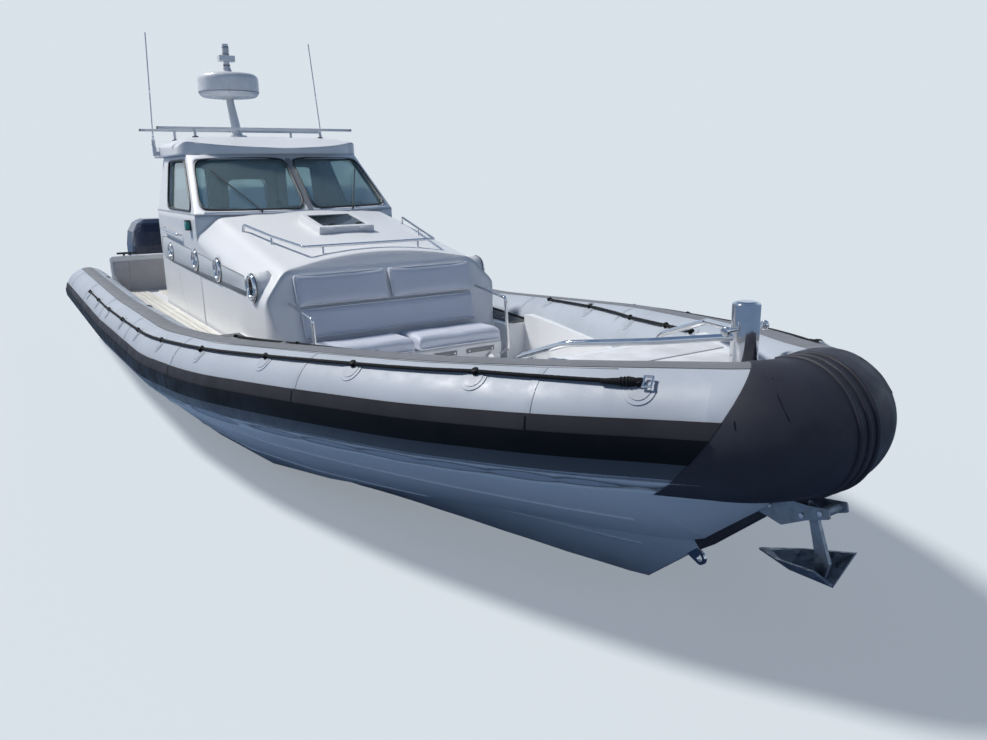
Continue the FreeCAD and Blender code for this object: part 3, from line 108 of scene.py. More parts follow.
# Corners of one windscreen pane: y, z
SCREEN_CORNERS = ((0.030, 1.67), (0.890, 1.67), (0.792, 2.12), (0.030, 2.12))
# Corners of a side window: x, z
SIDE_WINDOW = ((-1.345, 1.67), (-2.350, 1.67), (-2.560, 2.12), (-1.870, 2.12))
# Corners of a window in the aft wall: y, z
AFT_WINDOW = ((0.43, 1.30), (0.79, 1.30), (0.74, 2.06), (0.43, 2.06))
# Corners of the door's window: y, z
DOOR_WINDOW = ((-0.215, 1.315), (0.215, 1.315), (0.215, 1.935), (-0.215, 1.935))
# Wheelhouse's window walls: height of the sill, rise, half width at the sill, and how far they lean in
SILL_Z = 1.635
WINDOW_RISE = 0.53
WALL_HALF = 0.953
WALL_LEAN = 0.115
# Corners of the bulkhead's lining beside the tube: y, z
LINING_EDGE = ((1.122, 0.675), (1.198, 0.675), (1.225, 0.760), (1.285, 0.872), (1.285, 1.014), (1.122, 1.014))
# Rubber where the deck meets the tube: from x, to x, height
DECK_EDGES = ((-4.02, -0.10, 0.668), (-0.04, 0.92, 0.786), (0.96, 2.30, 0.500), (2.38, 3.24, 0.808))
ROOF_TOP = 2.385
# Feet of the bow rails, on the foredeck
RAIL_FEET = ((2.980, 0.478, 0.802), (2.980, -0.478, 0.802))
# Portlights on both sides: x, z, outer radius
PORTLIGHTS = ((0.384, 1.178, 0.105), (-0.569, 1.221, 0.100), (-1.346, 1.239, 0.095), (-2.368, 1.246, 0.085))
CABIN_HALF = 0.950
# Engines: distance from the centreline, height of the propeller shafts
ENGINE_Y = 0.540
SHAFT_Z = -0.690
# Pole of each antenna: its foot and its tip on the port side
ANTENNA_FOOT = (-2.900, 0.912, 2.320)
ANTENNA_TIP = (-2.994, 0.857, 3.392)
# Roof rack bars: x, height of the middle
RACK_BARS = ((-2.242, 2.429), (-3.165, 2.451))
# Post on the foredeck
POST_X = 4.045
# Points of a mesh nearer than this are one point
MERGE_DISTANCE = 0.00005
# A height above the wheelhouse roof
ABOVE_ROOF = 3.0
# How the cushions' covers are blown up
CLOTH_PRESSURE = 4.0
CLOTH_STIFFNESS = 30.0
CLOTH_STEPS = 5
CLOTH_FRAMES = 20


class BoatColours(bpy.types.PropertyGroup):
    """Colours of the boat's finishes"""

    gelcoat: bpy.props.FloatVectorProperty(
        name="Gelcoat", description="Polished moulding of the hull, deck and cabin",
        default=(0.78, 0.79, 0.80), size=3, min=0.0, max=1.0, subtype="COLOR")
    tube: bpy.props.FloatVectorProperty(
        name="Tube fabric", description="Coated fabric of the collar tube",
        default=(0.400, 0.438, 0.492), size=3, min=0.0, max=1.0, subtype="COLOR")
    band: bpy.props.FloatVectorProperty(
        name="Wear band", description="Darker fabric band along the top of the tube",
        default=(0.165, 0.170, 0.180), size=3, min=0.0, max=1.0, subtype="COLOR")
    # Painted light: the upper and lower strakes are one black rubber. The upper strake is painted lighter
    # where the sun lights it, and the lower strake near-black where it lies in shade
    strake: bpy.props.FloatVectorProperty(
        name="Upper strake", description="Upper rubbing strake",
        default=(0.034, 0.033, 0.039), size=3, min=0.0, max=1.0, subtype="COLOR")
    strake_low: bpy.props.FloatVectorProperty(
        name="Lower strake", description="Thick lower rubbing strake",
        default=(0.003, 0.0035, 0.006), size=3, min=0.0, max=1.0, subtype="COLOR")
    cap: bpy.props.FloatVectorProperty(
        name="Nose cap", description="Charcoal fabric round the nose",
        default=(0.024, 0.024, 0.034), size=3, min=0.0, max=1.0, subtype="COLOR")
    # Painted shade: the lower strip is the tube's light grey fabric on its underside, coloured dark as it
    # looks in shade
    strip: bpy.props.FloatVectorProperty(
        name="Lower strip", description="Glossy strip under the strakes",
        default=(0.034, 0.042, 0.055), size=3, min=0.0, max=1.0, subtype="COLOR")
    # Painted shade: the bow seat's white vinyl is coloured a darker blue-grey, as it looks in shade; the
    # piping keeps the white
    vinyl: bpy.props.FloatVectorProperty(
        name="Cushion vinyl", description="Marine vinyl of the bow seat",
        default=(0.60, 0.635, 0.72), size=3, min=0.0, max=1.0, subtype="COLOR")
    slats: bpy.props.FloatVectorProperty(
        name="Deck slats", description="Slatted tread of the side decks",
        default=(0.70, 0.685, 0.625), size=3, min=0.0, max=1.0, subtype="COLOR")
    lining: bpy.props.FloatVectorProperty(
        name="Cockpit lining", description="Lining panel of the aft bulkhead",
        default=(0.46, 0.44, 0.455), size=3, min=0.0, max=1.0, subtype="COLOR")
    cowl: bpy.props.FloatVectorProperty(
        name="Engine cowl", description="Metallic paint of the engine cowls",
        default=(0.008, 0.013, 0.036), size=3, min=0.0, max=1.0, subtype="COLOR")
    glass: bpy.props.FloatVectorProperty(
        name="Window glass", description="Tint of the wheelhouse glass",
        default=(0.50, 0.64, 0.66), size=3, min=0.0, max=1.0, subtype="COLOR")


class BoatSizes(bpy.types.PropertyGroup):
    """Sizes of the pieces that are dressed on the solids"""

    patch_radius: bpy.props.FloatProperty(
        name="Patch radius", description="Radius of the ring patches",
        default=0.065, min=0.04, max=0.15, unit="LENGTH")
    patch_drop: bpy.props.FloatProperty(
        name="Patch drop", description="Degrees that a patch's middle lies from its ring",
        default=6.0, min=0.0, max=20.0)
    seam_width: bpy.props.FloatProperty(
        name="Seam width", description="Width of the tapes over the tube's joints",
        default=0.03, min=0.01, max=0.1, unit="LENGTH")
    swell: bpy.props.FloatProperty(
        name="Cushion swell", description="Most that a cushion's face may swell",
        default=0.013, min=0.0, max=0.05, unit="LENGTH")
    voxel: bpy.props.FloatProperty(
        name="Cushion grid", description="Grid of the cushions before they swell",
        default=0.014, min=0.004, max=0.03, unit="LENGTH")


class StageSettings(bpy.types.PropertyGroup):
    """Camera, light and floor"""

    lens: bpy.props.FloatProperty(
        name="Lens", description="Focal length of the camera",
        default=29.18, min=10.0, max=200.0, unit="CAMERA")
    place: bpy.props.FloatVectorProperty(
        name="Camera place", description="Where the camera stands",
        default=(6.1982, -2.5922, 1.9690), size=3, subtype="TRANSLATION", unit="LENGTH")
    turn: bpy.props.FloatVectorProperty(
        name="Camera turn", description="How the camera is turned",
        default=tuple(math.radians(angle) for angle in (76.0964, 0.8643, 57.3120)), size=3,
        subtype="EULER", unit="ROTATION")
    sun: bpy.props.FloatProperty(
        name="Key light", description="Strength of the key light", default=3.7, min=0.0, max=10.0)
    ambient: bpy.props.FloatProperty(
        name="Fill light", description="Strength of the light from all round", default=0.25, min=0.0, max=2.0)
    floor: bpy.props.FloatVectorProperty(
        name="Floor", description="Colour of the floor at the waterline",
        default=(0.417, 0.441, 0.450), size=3, min=0.0, max=1.0, subtype="COLOR")
    bounce: bpy.props.FloatVectorProperty(
        name="Bounce light", description="Colour that the floor lends the hull above it",
        default=(0.16, 0.23, 0.34), size=3, min=0.0, max=1.0, subtype="COLOR")
    backdrop: bpy.props.FloatVectorProperty(
        name="Backdrop", description="Colour behind the boat",
        default=(0.70, 0.76, 0.82), size=3, min=0.0, max=1.0, subtype="COLOR")
    glow: bpy.props.FloatProperty(
        name="Floor glow", description="Share of the backdrop's colour that the floor has of itself",
        default=0.38, min=0.0, max=1.0)


# Ways of working


def clear():
    """Nothing is selected, and no mesh is being edited."""
    if bpy.context.object and bpy.context.object.mode != "OBJECT":
        bpy.ops.object.mode_set(mode="OBJECT")
    bpy.ops.object.select_all(action="DESELECT")


def choose(piece):
    clear()
    piece.select_set(True)
    bpy.context.view_layer.objects.active = piece


def rename(piece, name):
    piece.name = name
    piece.data.name = name
    return piece


def settle(name):
    """Names the new object and puts its place, turn and size into its mesh."""
    piece = rename(bpy.context.object, name)
    choose(piece)
    bpy.ops.object.transform_apply(location=True, rotation=True, scale=True)
    return piece


def modify(piece, kind, **settings):
    choose(piece)
    bpy.ops.object.modifier_add(type=kind)
    modifier = piece.modifiers[-1]
    for key, value in settings.items():
        setattr(modifier, key, value)
    bpy.ops.object.modifier_apply(modifier=modifier.name)
    return piece


def bevel(piece, width, segments=3, angle=30.0):
    return modify(piece, "BEVEL", width=width, segments=segments, limit_method="ANGLE",
                  angle_limit=math.radians(angle))


def smooth(piece, angle=35.0):
    choose(piece)
    bpy.ops.object.shade_smooth_by_angle(angle=math.radians(angle))
    return piece


def outward(piece):
    """Merges doubled points and turns every face outwards."""
    choose(piece)
    bpy.ops.object.mode_set(mode="EDIT")
    bpy.ops.mesh.select_all(action="SELECT")
    bpy.ops.mesh.remove_doubles(threshold=MERGE_DISTANCE)
    bpy.ops.mesh.normals_make_consistent(inside=False)
    bpy.ops.object.mode_set(mode="OBJECT")
    return piece


def block(name, low, high, rounding=0.0, segments=3):
    clear()
    low, high = Vector(low), Vector(high)
    bpy.ops.mesh.primitive_cube_add(size=1.0, location=(low + high) / 2, scale=high - low)
    piece = settle(name)
    if rounding:
        bevel(piece, rounding, segments)
    return smooth(piece)


def aim(direction):
    return Vector(direction).to_track_quat("Z", "Y").to_euler()


def drum(name, start, end, radius, sides=32, rounding=0.0, top=None):
    """A round piece between two points, tapered where a top radius is given."""
    clear()
    start, end = Vector(start), Vector(end)
    bpy.ops.mesh.primitive_cone_add(
        vertices=sides, radius1=radius, radius2=radius if top is None else top, depth=(end - start).length,
        location=(start + end) / 2, rotation=aim(end - start))
    piece = settle(name)
    if rounding:
        bevel(piece, rounding, 3, 50.0)
    return smooth(piece)


def bolt(name, spot, push, radius, rounding=0.001, sink=0.2):
    """A hexagon head that stands on a surface and reaches a little way into it."""
    return drum(name, spot - push * sink, spot + push, radius, 6, rounding)


def hoop(name, centre, axis, major, minor, sides=48, ring=12):
    clear()
    bpy.ops.mesh.primitive_torus_add(
        location=centre, rotation=aim(axis), major_radius=major, minor_radius=minor, major_segments=sides,
        minor_segments=ring)
    return smooth(settle(name), 60.0)


def drawn(name, corners):
    """A line drawn corner by corner, left in edit mode and selected."""
    clear()
    bpy.ops.mesh.primitive_plane_add(size=0.01, location=corners[0])
    piece = settle(name)
    bpy.ops.object.mode_set(mode="EDIT")
    bpy.ops.mesh.select_all(action="SELECT")
    bpy.ops.mesh.merge(type="CENTER")
    for before, after in zip(corners, corners[1:]):
        bpy.ops.mesh.extrude_vertices_move(TRANSFORM_OT_translate={"value": after - before})
    bpy.ops.mesh.select_all(action="SELECT")
    return piece


def plate(name, outline, push, rounding=0.0, segments=2):
    """A flat outline drawn corner by corner, filled, and pulled to its thickness."""
    piece = drawn(name, [Vector(corner) for corner in outline])
    bpy.ops.mesh.edge_face_add()
    bpy.ops.mesh.extrude_region_move(TRANSFORM_OT_translate={"value": Vector(push)})
    bpy.ops.mesh.select_all(action="SELECT")
    bpy.ops.mesh.normals_make_consistent(inside=False)
    bpy.ops.object.mode_set(mode="OBJECT")
    if rounding:
        bevel(piece, rounding, segments)
    return smooth(piece)


def tape(name, points, across, thickness):
    """A flat strip: a line drawn point by point, pulled sideways to its width, and given a thickness."""
    across = Vector(across)
    piece = drawn(name, [Vector(point) - across / 2 for point in points])
    bpy.ops.mesh.extrude_edges_move(TRANSFORM_OT_translate={"value": across})
    bpy.ops.object.mode_set(mode="OBJECT")
    modify(piece, "SOLIDIFY", thickness=thickness, offset=0.0)
    return smooth(outward(piece), 40.0)


def strand(name, points, radius, order=3, closed=False, sides=3):
    """A round bar or rope along a smooth line that its points steer."""
    clear()
    bpy.ops.curve.primitive_nurbs_path_add(location=(0.0, 0.0, 0.0))
    data = bpy.context.object.data
    data.splines.clear()
    spline = data.splines.new("NURBS")
    spline.points.add(len(points) - 1)
    for spot, point in zip(spline.points, points):
        spot.co = (*point, 1.0)
    spline.order_u = order
    spline.use_endpoint_u = not closed
    spline.use_cyclic_u = closed
    spline.resolution_u = 8
    data.bevel_depth = radius
    data.bevel_resolution = sides
    data.use_fill_caps = True
    bpy.ops.object.convert(target="MESH")
    return smooth(outward(settle(name)), 50.0)


def traced(corners, shares):
    """Points along a closed outline: each side gives one at each share of its length."""
    points = []
    for before, after in zip(corners, corners[1:] + corners[:1]):
        for share in shares:
            points.append(before.lerp(after, share))
    return points + points[:1]


def ring_places(x, z, radius, count, first):
    """Places evenly round an upright axis on the centreline."""
    places = []
    for turn in range(count):
        angle = math.radians(first + 360.0 / count * turn)
        places.append(Vector((x + math.cos(angle) * radius, math.sin(angle) * radius, z)))
    return places


def join(name, pieces):
    clear()
    for piece in pieces:
        piece.select_set(True)
    bpy.context.view_layer.objects.active = pieces[0]
    bpy.ops.object.join()
    return rename(pieces[0], name)


def both_sides(name, pieces):
    """The pieces in one object, with the same on the other side of the centreline."""
    piece = join(name, pieces) if len(pieces) > 1 else pieces[0]
    choose(piece)
    bpy.ops.object.duplicate()
    other = bpy.context.object
    bpy.ops.transform.mirror(
        orient_type="GLOBAL", constraint_axis=(False, True, False), center_override=(0.0, 0.0, 0.0))
    bpy.ops.object.transform_apply(location=True, rotation=True, scale=True)
    outward(other)
    return join(name, [piece, other])


def tube_part(x):
    """The stretch of the tube's centreline at a station: its two ends, and the station's share of the way."""
    for start, end in zip(TUBE_LINE, TUBE_LINE[1:]):
        if x <= end[0]:
            break
    return start, end, (x - start[0]) / (end[0] - start[0])


def tube_spot(x, angle, lift, side=1):
    """A place on the tube's surface by station and angle, and the surface's direction there."""
    (x0, y0, z0), (x1, y1, z1), share = tube_part(x)
    heading = Vector((x1 - x0, y1 - y0, z1 - z0)).normalized()
    out = UP.cross(heading).normalized()
    rise = heading.cross(out)
    centre = Vector((x, y0 + (y1 - y0) * share, z0 + (z1 - z0) * share))
    turn = math.radians(angle)
    rough = centre + (out * math.cos(turn) + rise * math.sin(turn)) * (TUBE_RADIUS + 0.01)
    _, spot, normal, _ = COLLAR.closest_point_on_mesh(rough)
    spot = spot + normal * lift
    if side < 0:
        spot.y, normal.y = -spot.y, -normal.y
    return spot, normal.normalized()


def along(x, angle, side=1, reach=0.02):
    """The tube's direction at a station."""
    ahead = tube_spot(x + reach, angle, 0.0, side)[0]
    behind = tube_spot(x - reach, angle, 0.0, side)[0]
    return (ahead - behind).normalized()


def tube_height(x, height):
    """The angle at which the tube's inner side reaches a height."""
    (_, _, z0), (_, _, z1), share = tube_part(x)
    rise = (height - (z0 + (z1 - z0) * share)) / TUBE_RADIUS
    return 180.0 - math.degrees(math.asin(max(-1.0, min(1.0, rise))))


def roof_spot(x, y):
    """The place on the wheelhouse roof straight below a point."""
    _, spot, _, _ = NODES["wheelhouse_roof"].ray_cast(Vector((x, y, ABOVE_ROOF)), -UP)
    return spot


def level(direction, facing):
    """A direction laid flat on the surface that faces a way."""
    return (direction - facing * direction.dot(facing)).normalized()


def disc(name, radius, rings, step, sides=32):
    """A flat round patch at the origin, with rings of faces that let it bend."""
    clear()
    bpy.ops.mesh.primitive_circle_add(vertices=sides, radius=radius, fill_type="NGON")
    piece = settle(name)
    bpy.ops.object.mode_set(mode="EDIT")
    bpy.ops.mesh.select_all(action="SELECT")
    for _ in range(rings):
        bpy.ops.mesh.inset(thickness=step)
    bpy.ops.object.mode_set(mode="OBJECT")
    return piece


def wrap(piece, lift, thickness):
    """Lays a flat patch on the tube and gives it a thickness."""
    modify(piece, "SHRINKWRAP", target=COLLAR, wrap_method="NEAREST_SURFACEPOINT", wrap_mode="ABOVE_SURFACE",
           offset=lift)
    modify(piece, "SOLIDIFY", thickness=thickness, offset=1.0)
    return smooth(outward(piece), 50.0)


def placed(piece, name, spot, facing, heading):
    """A copy of a piece drawn at the origin, set down at a spot: its Z along facing, its X along heading."""
    choose(piece)
    bpy.ops.object.duplicate()
    side = facing.cross(heading).normalized()
    turn = Matrix((side.cross(facing), side, facing)).transposed().to_4x4()
    bpy.context.object.matrix_world = Matrix.Translation(spot) @ turn
    return settle(name)


def remove(*pieces):
    for piece in pieces:
        choose(piece)
        bpy.ops.object.delete()


def stations(start, end, step):
    """Evenly spaced numbers from start to end, about a step apart."""
    count = max(2, round(abs(end - start) / step) + 1)
    return [start + (end - start) * index / (count - 1) for index in range(count)]


def bare(piece):
    """Takes a copied solid's materials off it."""
    while piece.data.materials:
        piece.data.materials.pop()


def middle_order(piece):
    """Sorts pieces from below, then from starboard."""
    spots = [vertex.co for vertex in piece.data.vertices]
    return tuple(round(sum(spot[axis] for spot in spots) / len(spots), 2) for axis in (2, 1))


def loose_parts(node, name):
    """The separate solids of a CAD node, each copied into a piece of its own."""
    choose(NODES[node])
    bpy.ops.object.duplicate()
    copy = bpy.context.object
    copy.name = name
    copy.parent = None
    outward(copy)
    bpy.ops.object.mode_set(mode="EDIT")
    bpy.ops.mesh.select_all(action="SELECT")
    bpy.ops.mesh.separate(type="LOOSE")
    bpy.ops.object.mode_set(mode="OBJECT")
    parts = list(bpy.context.selected_objects)
    for part in parts:
        bare(part)
    return sorted(parts, key=middle_order)


def cut_line(node, name, spot, facing, radius, keep=None):
    """A bead along the line where a plane meets a CAD node."""
    choose(NODES[node])
    bpy.ops.object.duplicate()
    piece = bpy.context.object
    bpy.ops.object.mode_set(mode="EDIT")
    bpy.ops.mesh.select_all(action="SELECT")
    bpy.ops.mesh.remove_doubles(threshold=MERGE_DISTANCE)
    bpy.ops.mesh.bisect(plane_co=spot, plane_no=facing, clear_inner=True, clear_outer=True)
    bpy.ops.object.mode_set(mode="OBJECT")
    if keep:
        for edge in piece.data.edges:
            edge.select = False
        for vertex in piece.data.vertices:
            vertex.select = not keep(vertex.co)
        bpy.ops.object.mode_set(mode="EDIT")
        bpy.ops.mesh.delete(type="VERT")
        bpy.ops.object.mode_set(mode="OBJECT")
    bare(piece)
    bpy.ops.object.convert(target="CURVE")
    piece = bpy.context.object
    piece.data.bevel_depth = radius
    piece.data.bevel_resolution = 2
    piece.data.use_fill_caps = True
    bpy.ops.object.convert(target="MESH")
    return smooth(settle(name), 60.0)


def swell(piece, name, voxel, cap, shrink, still=None):
    """Blows a closed shape up like a filled cover; no point moves further than the cap."""
    choose(rename(piece, name))
    corners = [piece.matrix_world @ Vector(corner) for corner in piece.bound_box]
    centre = sum(corners, Vector()) / len(corners)
    # The width, along Y, shrinks less than the rest
    across = 1.0 - (1.0 - shrink) * 0.3
    bpy.ops.object.mode_set(mode="EDIT")
    bpy.ops.mesh.select_all(action="SELECT")
    bpy.ops.transform.resize(value=(shrink, across, shrink), center_override=centre)
    bpy.ops.object.mode_set(mode="OBJECT")
    modify(piece, "REMESH", mode="VOXEL", voxel_size=voxel)
    rest = [vertex.co.copy() for vertex in piece.data.vertices]
    choose(piece)
    bpy.ops.object.modifier_add(type="CLOTH")
    cloth = piece.modifiers[-1]
    cloth.settings.use_pressure = True
    cloth.settings.uniform_pressure_force = CLOTH_PRESSURE
    cloth.settings.effector_weights.gravity = 0.0
    cloth.settings.quality = CLOTH_STEPS
    cloth.settings.tension_stiffness = CLOTH_STIFFNESS
    cloth.settings.compression_stiffness = CLOTH_STIFFNESS
    cloth.point_cache.frame_start = 1
    cloth.point_cache.frame_end = CLOTH_FRAMES
    for number in range(1, CLOTH_FRAMES + 1):
        bpy.context.scene.frame_set(number)
    bpy.ops.object.modifier_apply(modifier=cloth.name)
    bpy.context.scene.frame_set(1)
    for vertex, before in zip(piece.data.vertices, rest):
        step = vertex.co - before
        if still is not None and still(before):
            step = Vector()
        vertex.co = before + step * min(1.0, cap / max(step.length, 0.00001))
    modify(piece, "SMOOTH", factor=0.5, iterations=4)
    modify(piece, "SUBSURF", levels=1, render_levels=1)
    return smooth(piece, 60.0)


# Finishes


def wired(tree, kind, *values):
    """A new node whose first inputs are linked to sockets or set to values."""
    node = tree.nodes.new(kind)
    for socket, value in zip(node.inputs, values):
        if isinstance(value, bpy.types.NodeSocket):
            tree.links.new(value, socket)
        else:
            socket.default_value = value
    return node


class Finish:
    """A node material on Object coordinates, built up from noise, waves and bumps."""

    def __init__(self, name, colour, roughness, metallic=0.0, **sockets):
        self.material = bpy.data.materials.new(name)
        self.material.use_nodes = True
        self.tree = self.material.node_tree
        self.shader = self.tree.nodes["Principled BSDF"]
        self.place = self.tree.nodes.new("ShaderNodeTexCoord").outputs["Object"]
        self.colour = colour
        self.normal = None
        self.shader.inputs["Base Color"].default_value = (*colour, 1.0)
        self.shader.inputs["Roughness"].default_value = roughness
        self.shader.inputs["Metallic"].default_value = metallic
        for key, value in sockets.items():
            self.shader.inputs[key.replace("_", " ")].default_value = value

    def new(self, kind, **inputs):
        node = self.tree.nodes.new(kind)
        for key, value in inputs.items():
            socket = node.inputs[key]
            if isinstance(value, bpy.types.NodeSocket):
                self.tree.links.new(value, socket)
            else:
                socket.default_value = value
        return node

    def stretched(self, scale):
        return self.new("ShaderNodeMapping", Vector=self.place, Scale=scale).outputs["Vector"]

    def noise(self, scale, detail=3.0, place=None, roughness=0.5):
        node = self.new("ShaderNodeTexNoise", Vector=place or self.place, Scale=scale, Detail=detail,
                        Roughness=roughness)
        return node.outputs["Fac"]

    def ramp(self, value, low, high, start=0.0, end=1.0):
        node = self.new("ShaderNodeMapRange", Value=value)
        for key, number in zip(("From Min", "From Max", "To Min", "To Max"), (low, high, start, end)):
            node.inputs[key].default_value = number
        return node.outputs["Result"]

    def maths(self, kind, first, second):
        node = wired(self.tree, "ShaderNodeMath", first, second)
        node.operation = kind
        return node.outputs[0]

    def mix(self, share, first, second):
        node = self.new("ShaderNodeMix")
        node.data_type = "RGBA"
        for socket, value in zip((node.inputs[0], node.inputs[6], node.inputs[7]), (share, first, second)):
            if isinstance(value, bpy.types.NodeSocket):
                self.tree.links.new(value, socket)
            else:
                socket.default_value = (*value, 1.0) if isinstance(value, (tuple, list)) else value
        return node.outputs[2]

    def paint(self, colour):
        self.tree.links.new(colour, self.shader.inputs["Base Color"])
        return self

    def gloss(self, value):
        self.tree.links.new(value, self.shader.inputs["Roughness"])
        return self

    def bump(self, height, strength, depth):
        node = self.new("ShaderNodeBump", Height=height, Strength=strength, Distance=depth)
        if self.normal:
            self.tree.links.new(self.normal, node.inputs["Normal"])
        self.normal = node.outputs["Normal"]
        self.tree.links.new(self.normal, self.shader.inputs["Normal"])
        return self

    def round_edges(self, radius):
        """Softens the light over edges, as the moulding's rounded corners do."""
        node = self.new("ShaderNodeBevel", Radius=radius)
        node.samples = 6
        self.normal = node.outputs["Normal"]
        self.tree.links.new(self.normal, self.shader.inputs["Normal"])

    def mottle(self, amount, scale, detail=4.0, place=None):
        """Lets the colour wander a little over the surface."""
        darker = tuple(channel * (1.0 - amount) for channel in self.colour)
        lighter = tuple(min(1.0, channel * (1.0 + amount)) for channel in self.colour)
        share = self.ramp(self.noise(scale, detail, place), 0.3, 0.7)
        return self.mix(share, darker, lighter)


def shade(colour, factor):
    return tuple(min(1.0, channel * factor) for channel in colour)


def make_gelcoat(name, colour, stain=0.0, rounding=0.0):
    finish = Finish(name, colour, 0.36, Coat_Weight=0.12, Coat_Roughness=0.25)
    if rounding:
        finish.round_edges(rounding)
    base = finish.mottle(0.015, 1.3, 2.0)
    film = finish.noise(0.9)
    base = finish.mix(finish.ramp(film, 0.45, 0.80, 0.0, 0.12), base, shade(colour, 0.90))
    if stain:
        height = finish.new("ShaderNodeSeparateXYZ", Vector=finish.place).outputs["Z"]
        wet = finish.maths("MULTIPLY", finish.ramp(height, 0.02, 0.16, 1.0, 0.0),
                           finish.ramp(finish.noise(6.0, 6.0), 0.35, 0.65))
        base = finish.mix(finish.maths("MULTIPLY", wet, stain), base, (0.33, 0.35, 0.26))
    finish.paint(base)
    finish.gloss(finish.ramp(finish.noise(1.8, 3.0), 0.3, 0.7, 0.32, 0.42))
    finish.bump(finish.noise(1.2, 1.0), 0.02, 0.006)
    return finish.material


def make_fabric(name, colour, roughness=0.5, stain=0.12, weave=0.12):
    finish = Finish(name, colour, roughness, Sheen_Weight=0.05)
    base = finish.mottle(0.06, 2.6, 6.0)
    spots = finish.noise(11.0, 8.0, roughness=0.65)
    base = finish.mix(finish.ramp(spots, 0.50, 0.74, 0.0, stain), base, shade(colour, 0.55))
    runs = finish.noise(5.0, 6.0, finish.stretched((1.0, 1.0, 0.25)), 0.6)
    base = finish.mix(finish.ramp(runs, 0.55, 0.8, 0.0, stain), base, shade(colour, 0.72))
    finish.paint(base)
    finish.gloss(finish.ramp(finish.noise(14.0, 5.0), 0.3, 0.7, roughness - 0.10, roughness + 0.12))
    finish.bump(finish.noise(900.0, 2.0), weave, 0.0006)
    finish.bump(finish.noise(4.0, 2.0), 0.10, 0.008)
    return finish.material


def make_rubber(name, colour, roughness=0.45, shine=0.12):
    finish = Finish(name, colour, roughness, Specular_IOR_Level=shine)
    base = finish.mottle(0.14, 5.0, 6.0)
    scuffs = finish.noise(16.0, 8.0, finish.stretched((0.4, 1.0, 1.6)), 0.7)
    base = finish.mix(finish.ramp(scuffs, 0.62, 0.84, 0.0, 0.25), base, shade(colour, 2.2))
    finish.paint(base)
    finish.gloss(finish.ramp(finish.noise(8.0, 4.0), 0.3, 0.7, roughness - 0.12, roughness + 0.15))
    finish.bump(finish.noise(420.0, 2.0), 0.10, 0.0008)
    return finish.material


def make_metal(name, colour, roughness, brushed=0.0):
    finish = Finish(name, colour, roughness, 1.0)
    finish.paint(finish.mottle(0.05, 20.0))
    finish.gloss(finish.ramp(finish.noise(30.0, 5.0), 0.3, 0.7, roughness * 0.6, roughness * 1.5))
    if brushed:
        finish.bump(finish.noise(200.0, 4.0), brushed, 0.0006)
    return finish.material


def make_vinyl(name, colour):
    finish = Finish(name, colour, 0.42, Sheen_Weight=0.08)
    base = finish.mottle(0.03, 4.0)
    dirt = finish.noise(9.0, 8.0, roughness=0.65)
    finish.paint(finish.mix(finish.ramp(dirt, 0.55, 0.8, 0.0, 0.14), base, shade(colour, 0.66)))
    finish.gloss(finish.ramp(finish.noise(12.0, 4.0), 0.3, 0.7, 0.34, 0.52))
    grain = finish.new("ShaderNodeTexVoronoi", Vector=finish.place, Scale=420.0).outputs["Distance"]
    finish.bump(grain, 0.10, 0.0006)
    finish.bump(finish.noise(7.0, 3.0), 0.20, 0.006)
    return finish.material


def make_plastic(name, colour, roughness=0.35, grain=0.08):
    finish = Finish(name, colour, roughness)
    finish.paint(finish.mottle(0.06, 8.0))
    finish.gloss(finish.ramp(finish.noise(20.0, 4.0), 0.3, 0.7, roughness * 0.8, roughness * 1.25))
    finish.bump(finish.noise(300.0, 2.0), grain, 0.0006)
    return finish.material


def make_paint(name, colour, roughness=0.25, flake=0.0):
    finish = Finish(name, colour, roughness, 0.35 if flake else 0.0, Coat_Weight=0.45, Coat_Roughness=0.08)
    base = finish.mottle(0.10, 3.0)
    if flake:
        sparkle = finish.noise(1400.0, 1.0)
        base = finish.mix(finish.ramp(sparkle, 0.58, 0.70, 0.0, flake), base, shade(colour, 4.0))
    finish.paint(base)
    finish.gloss(finish.ramp(finish.noise(10.0, 3.0), 0.3, 0.7, roughness * 0.8, roughness * 1.3))
    return finish.material


def make_glass(name, colour, roughness=0.02):
    finish = Finish(name, colour, roughness, 0.0, Transmission_Weight=0.86, IOR=1.45)
    finish.paint(finish.mottle(0.05, 2.0))
    finish.gloss(finish.ramp(finish.noise(6.0, 4.0), 0.4, 0.8, roughness, roughness + 0.05))
    return finish.material


def make_rope(name, colour):
    finish = Finish(name, colour, 0.75, Sheen_Weight=0.03, Specular_IOR_Level=0.2)
    finish.paint(finish.mottle(0.3, 60.0))
    twist = finish.new("ShaderNodeTexWave", Vector=finish.place, Scale=38.0, Distortion=0.6)
    twist.wave_type = "BANDS"
    twist.bands_direction = "DIAGONAL"
    finish.bump(twist.outputs["Fac"], 0.6, 0.003)
    return finish.material


def make_slats(name, colour):
    finish = Finish(name, colour, 0.55)
    grain = finish.noise(6.0, 8.0, finish.stretched((0.6, 14.0, 14.0)), 0.6)
    base = finish.mix(finish.ramp(grain, 0.35, 0.7), shade(colour, 0.82), shade(colour, 1.08))
    dirt = finish.noise(5.0, 6.0)
    finish.paint(finish.mix(finish.ramp(dirt, 0.5, 0.8, 0.0, 0.25), base, shade(colour, 0.6)))
    finish.bump(grain, 0.2, 0.001)
    return finish.material


def make_nonslip(name, colour):
    finish = Finish(name, colour, 0.8)
    finish.paint(finish.mottle(0.15, 6.0))
    dots = finish.new("ShaderNodeTexVoronoi", Vector=finish.place, Scale=260.0).outputs["Distance"]
    finish.bump(dots, 0.5, 0.0015)
    return finish.material


def make_lens(name, colour):
    finish = Finish(name, colour, 0.12, 0.0, Transmission_Weight=0.3, IOR=1.49)
    finish.paint(finish.mottle(0.12, 30.0))
    return finish.material


FINISHES = {}


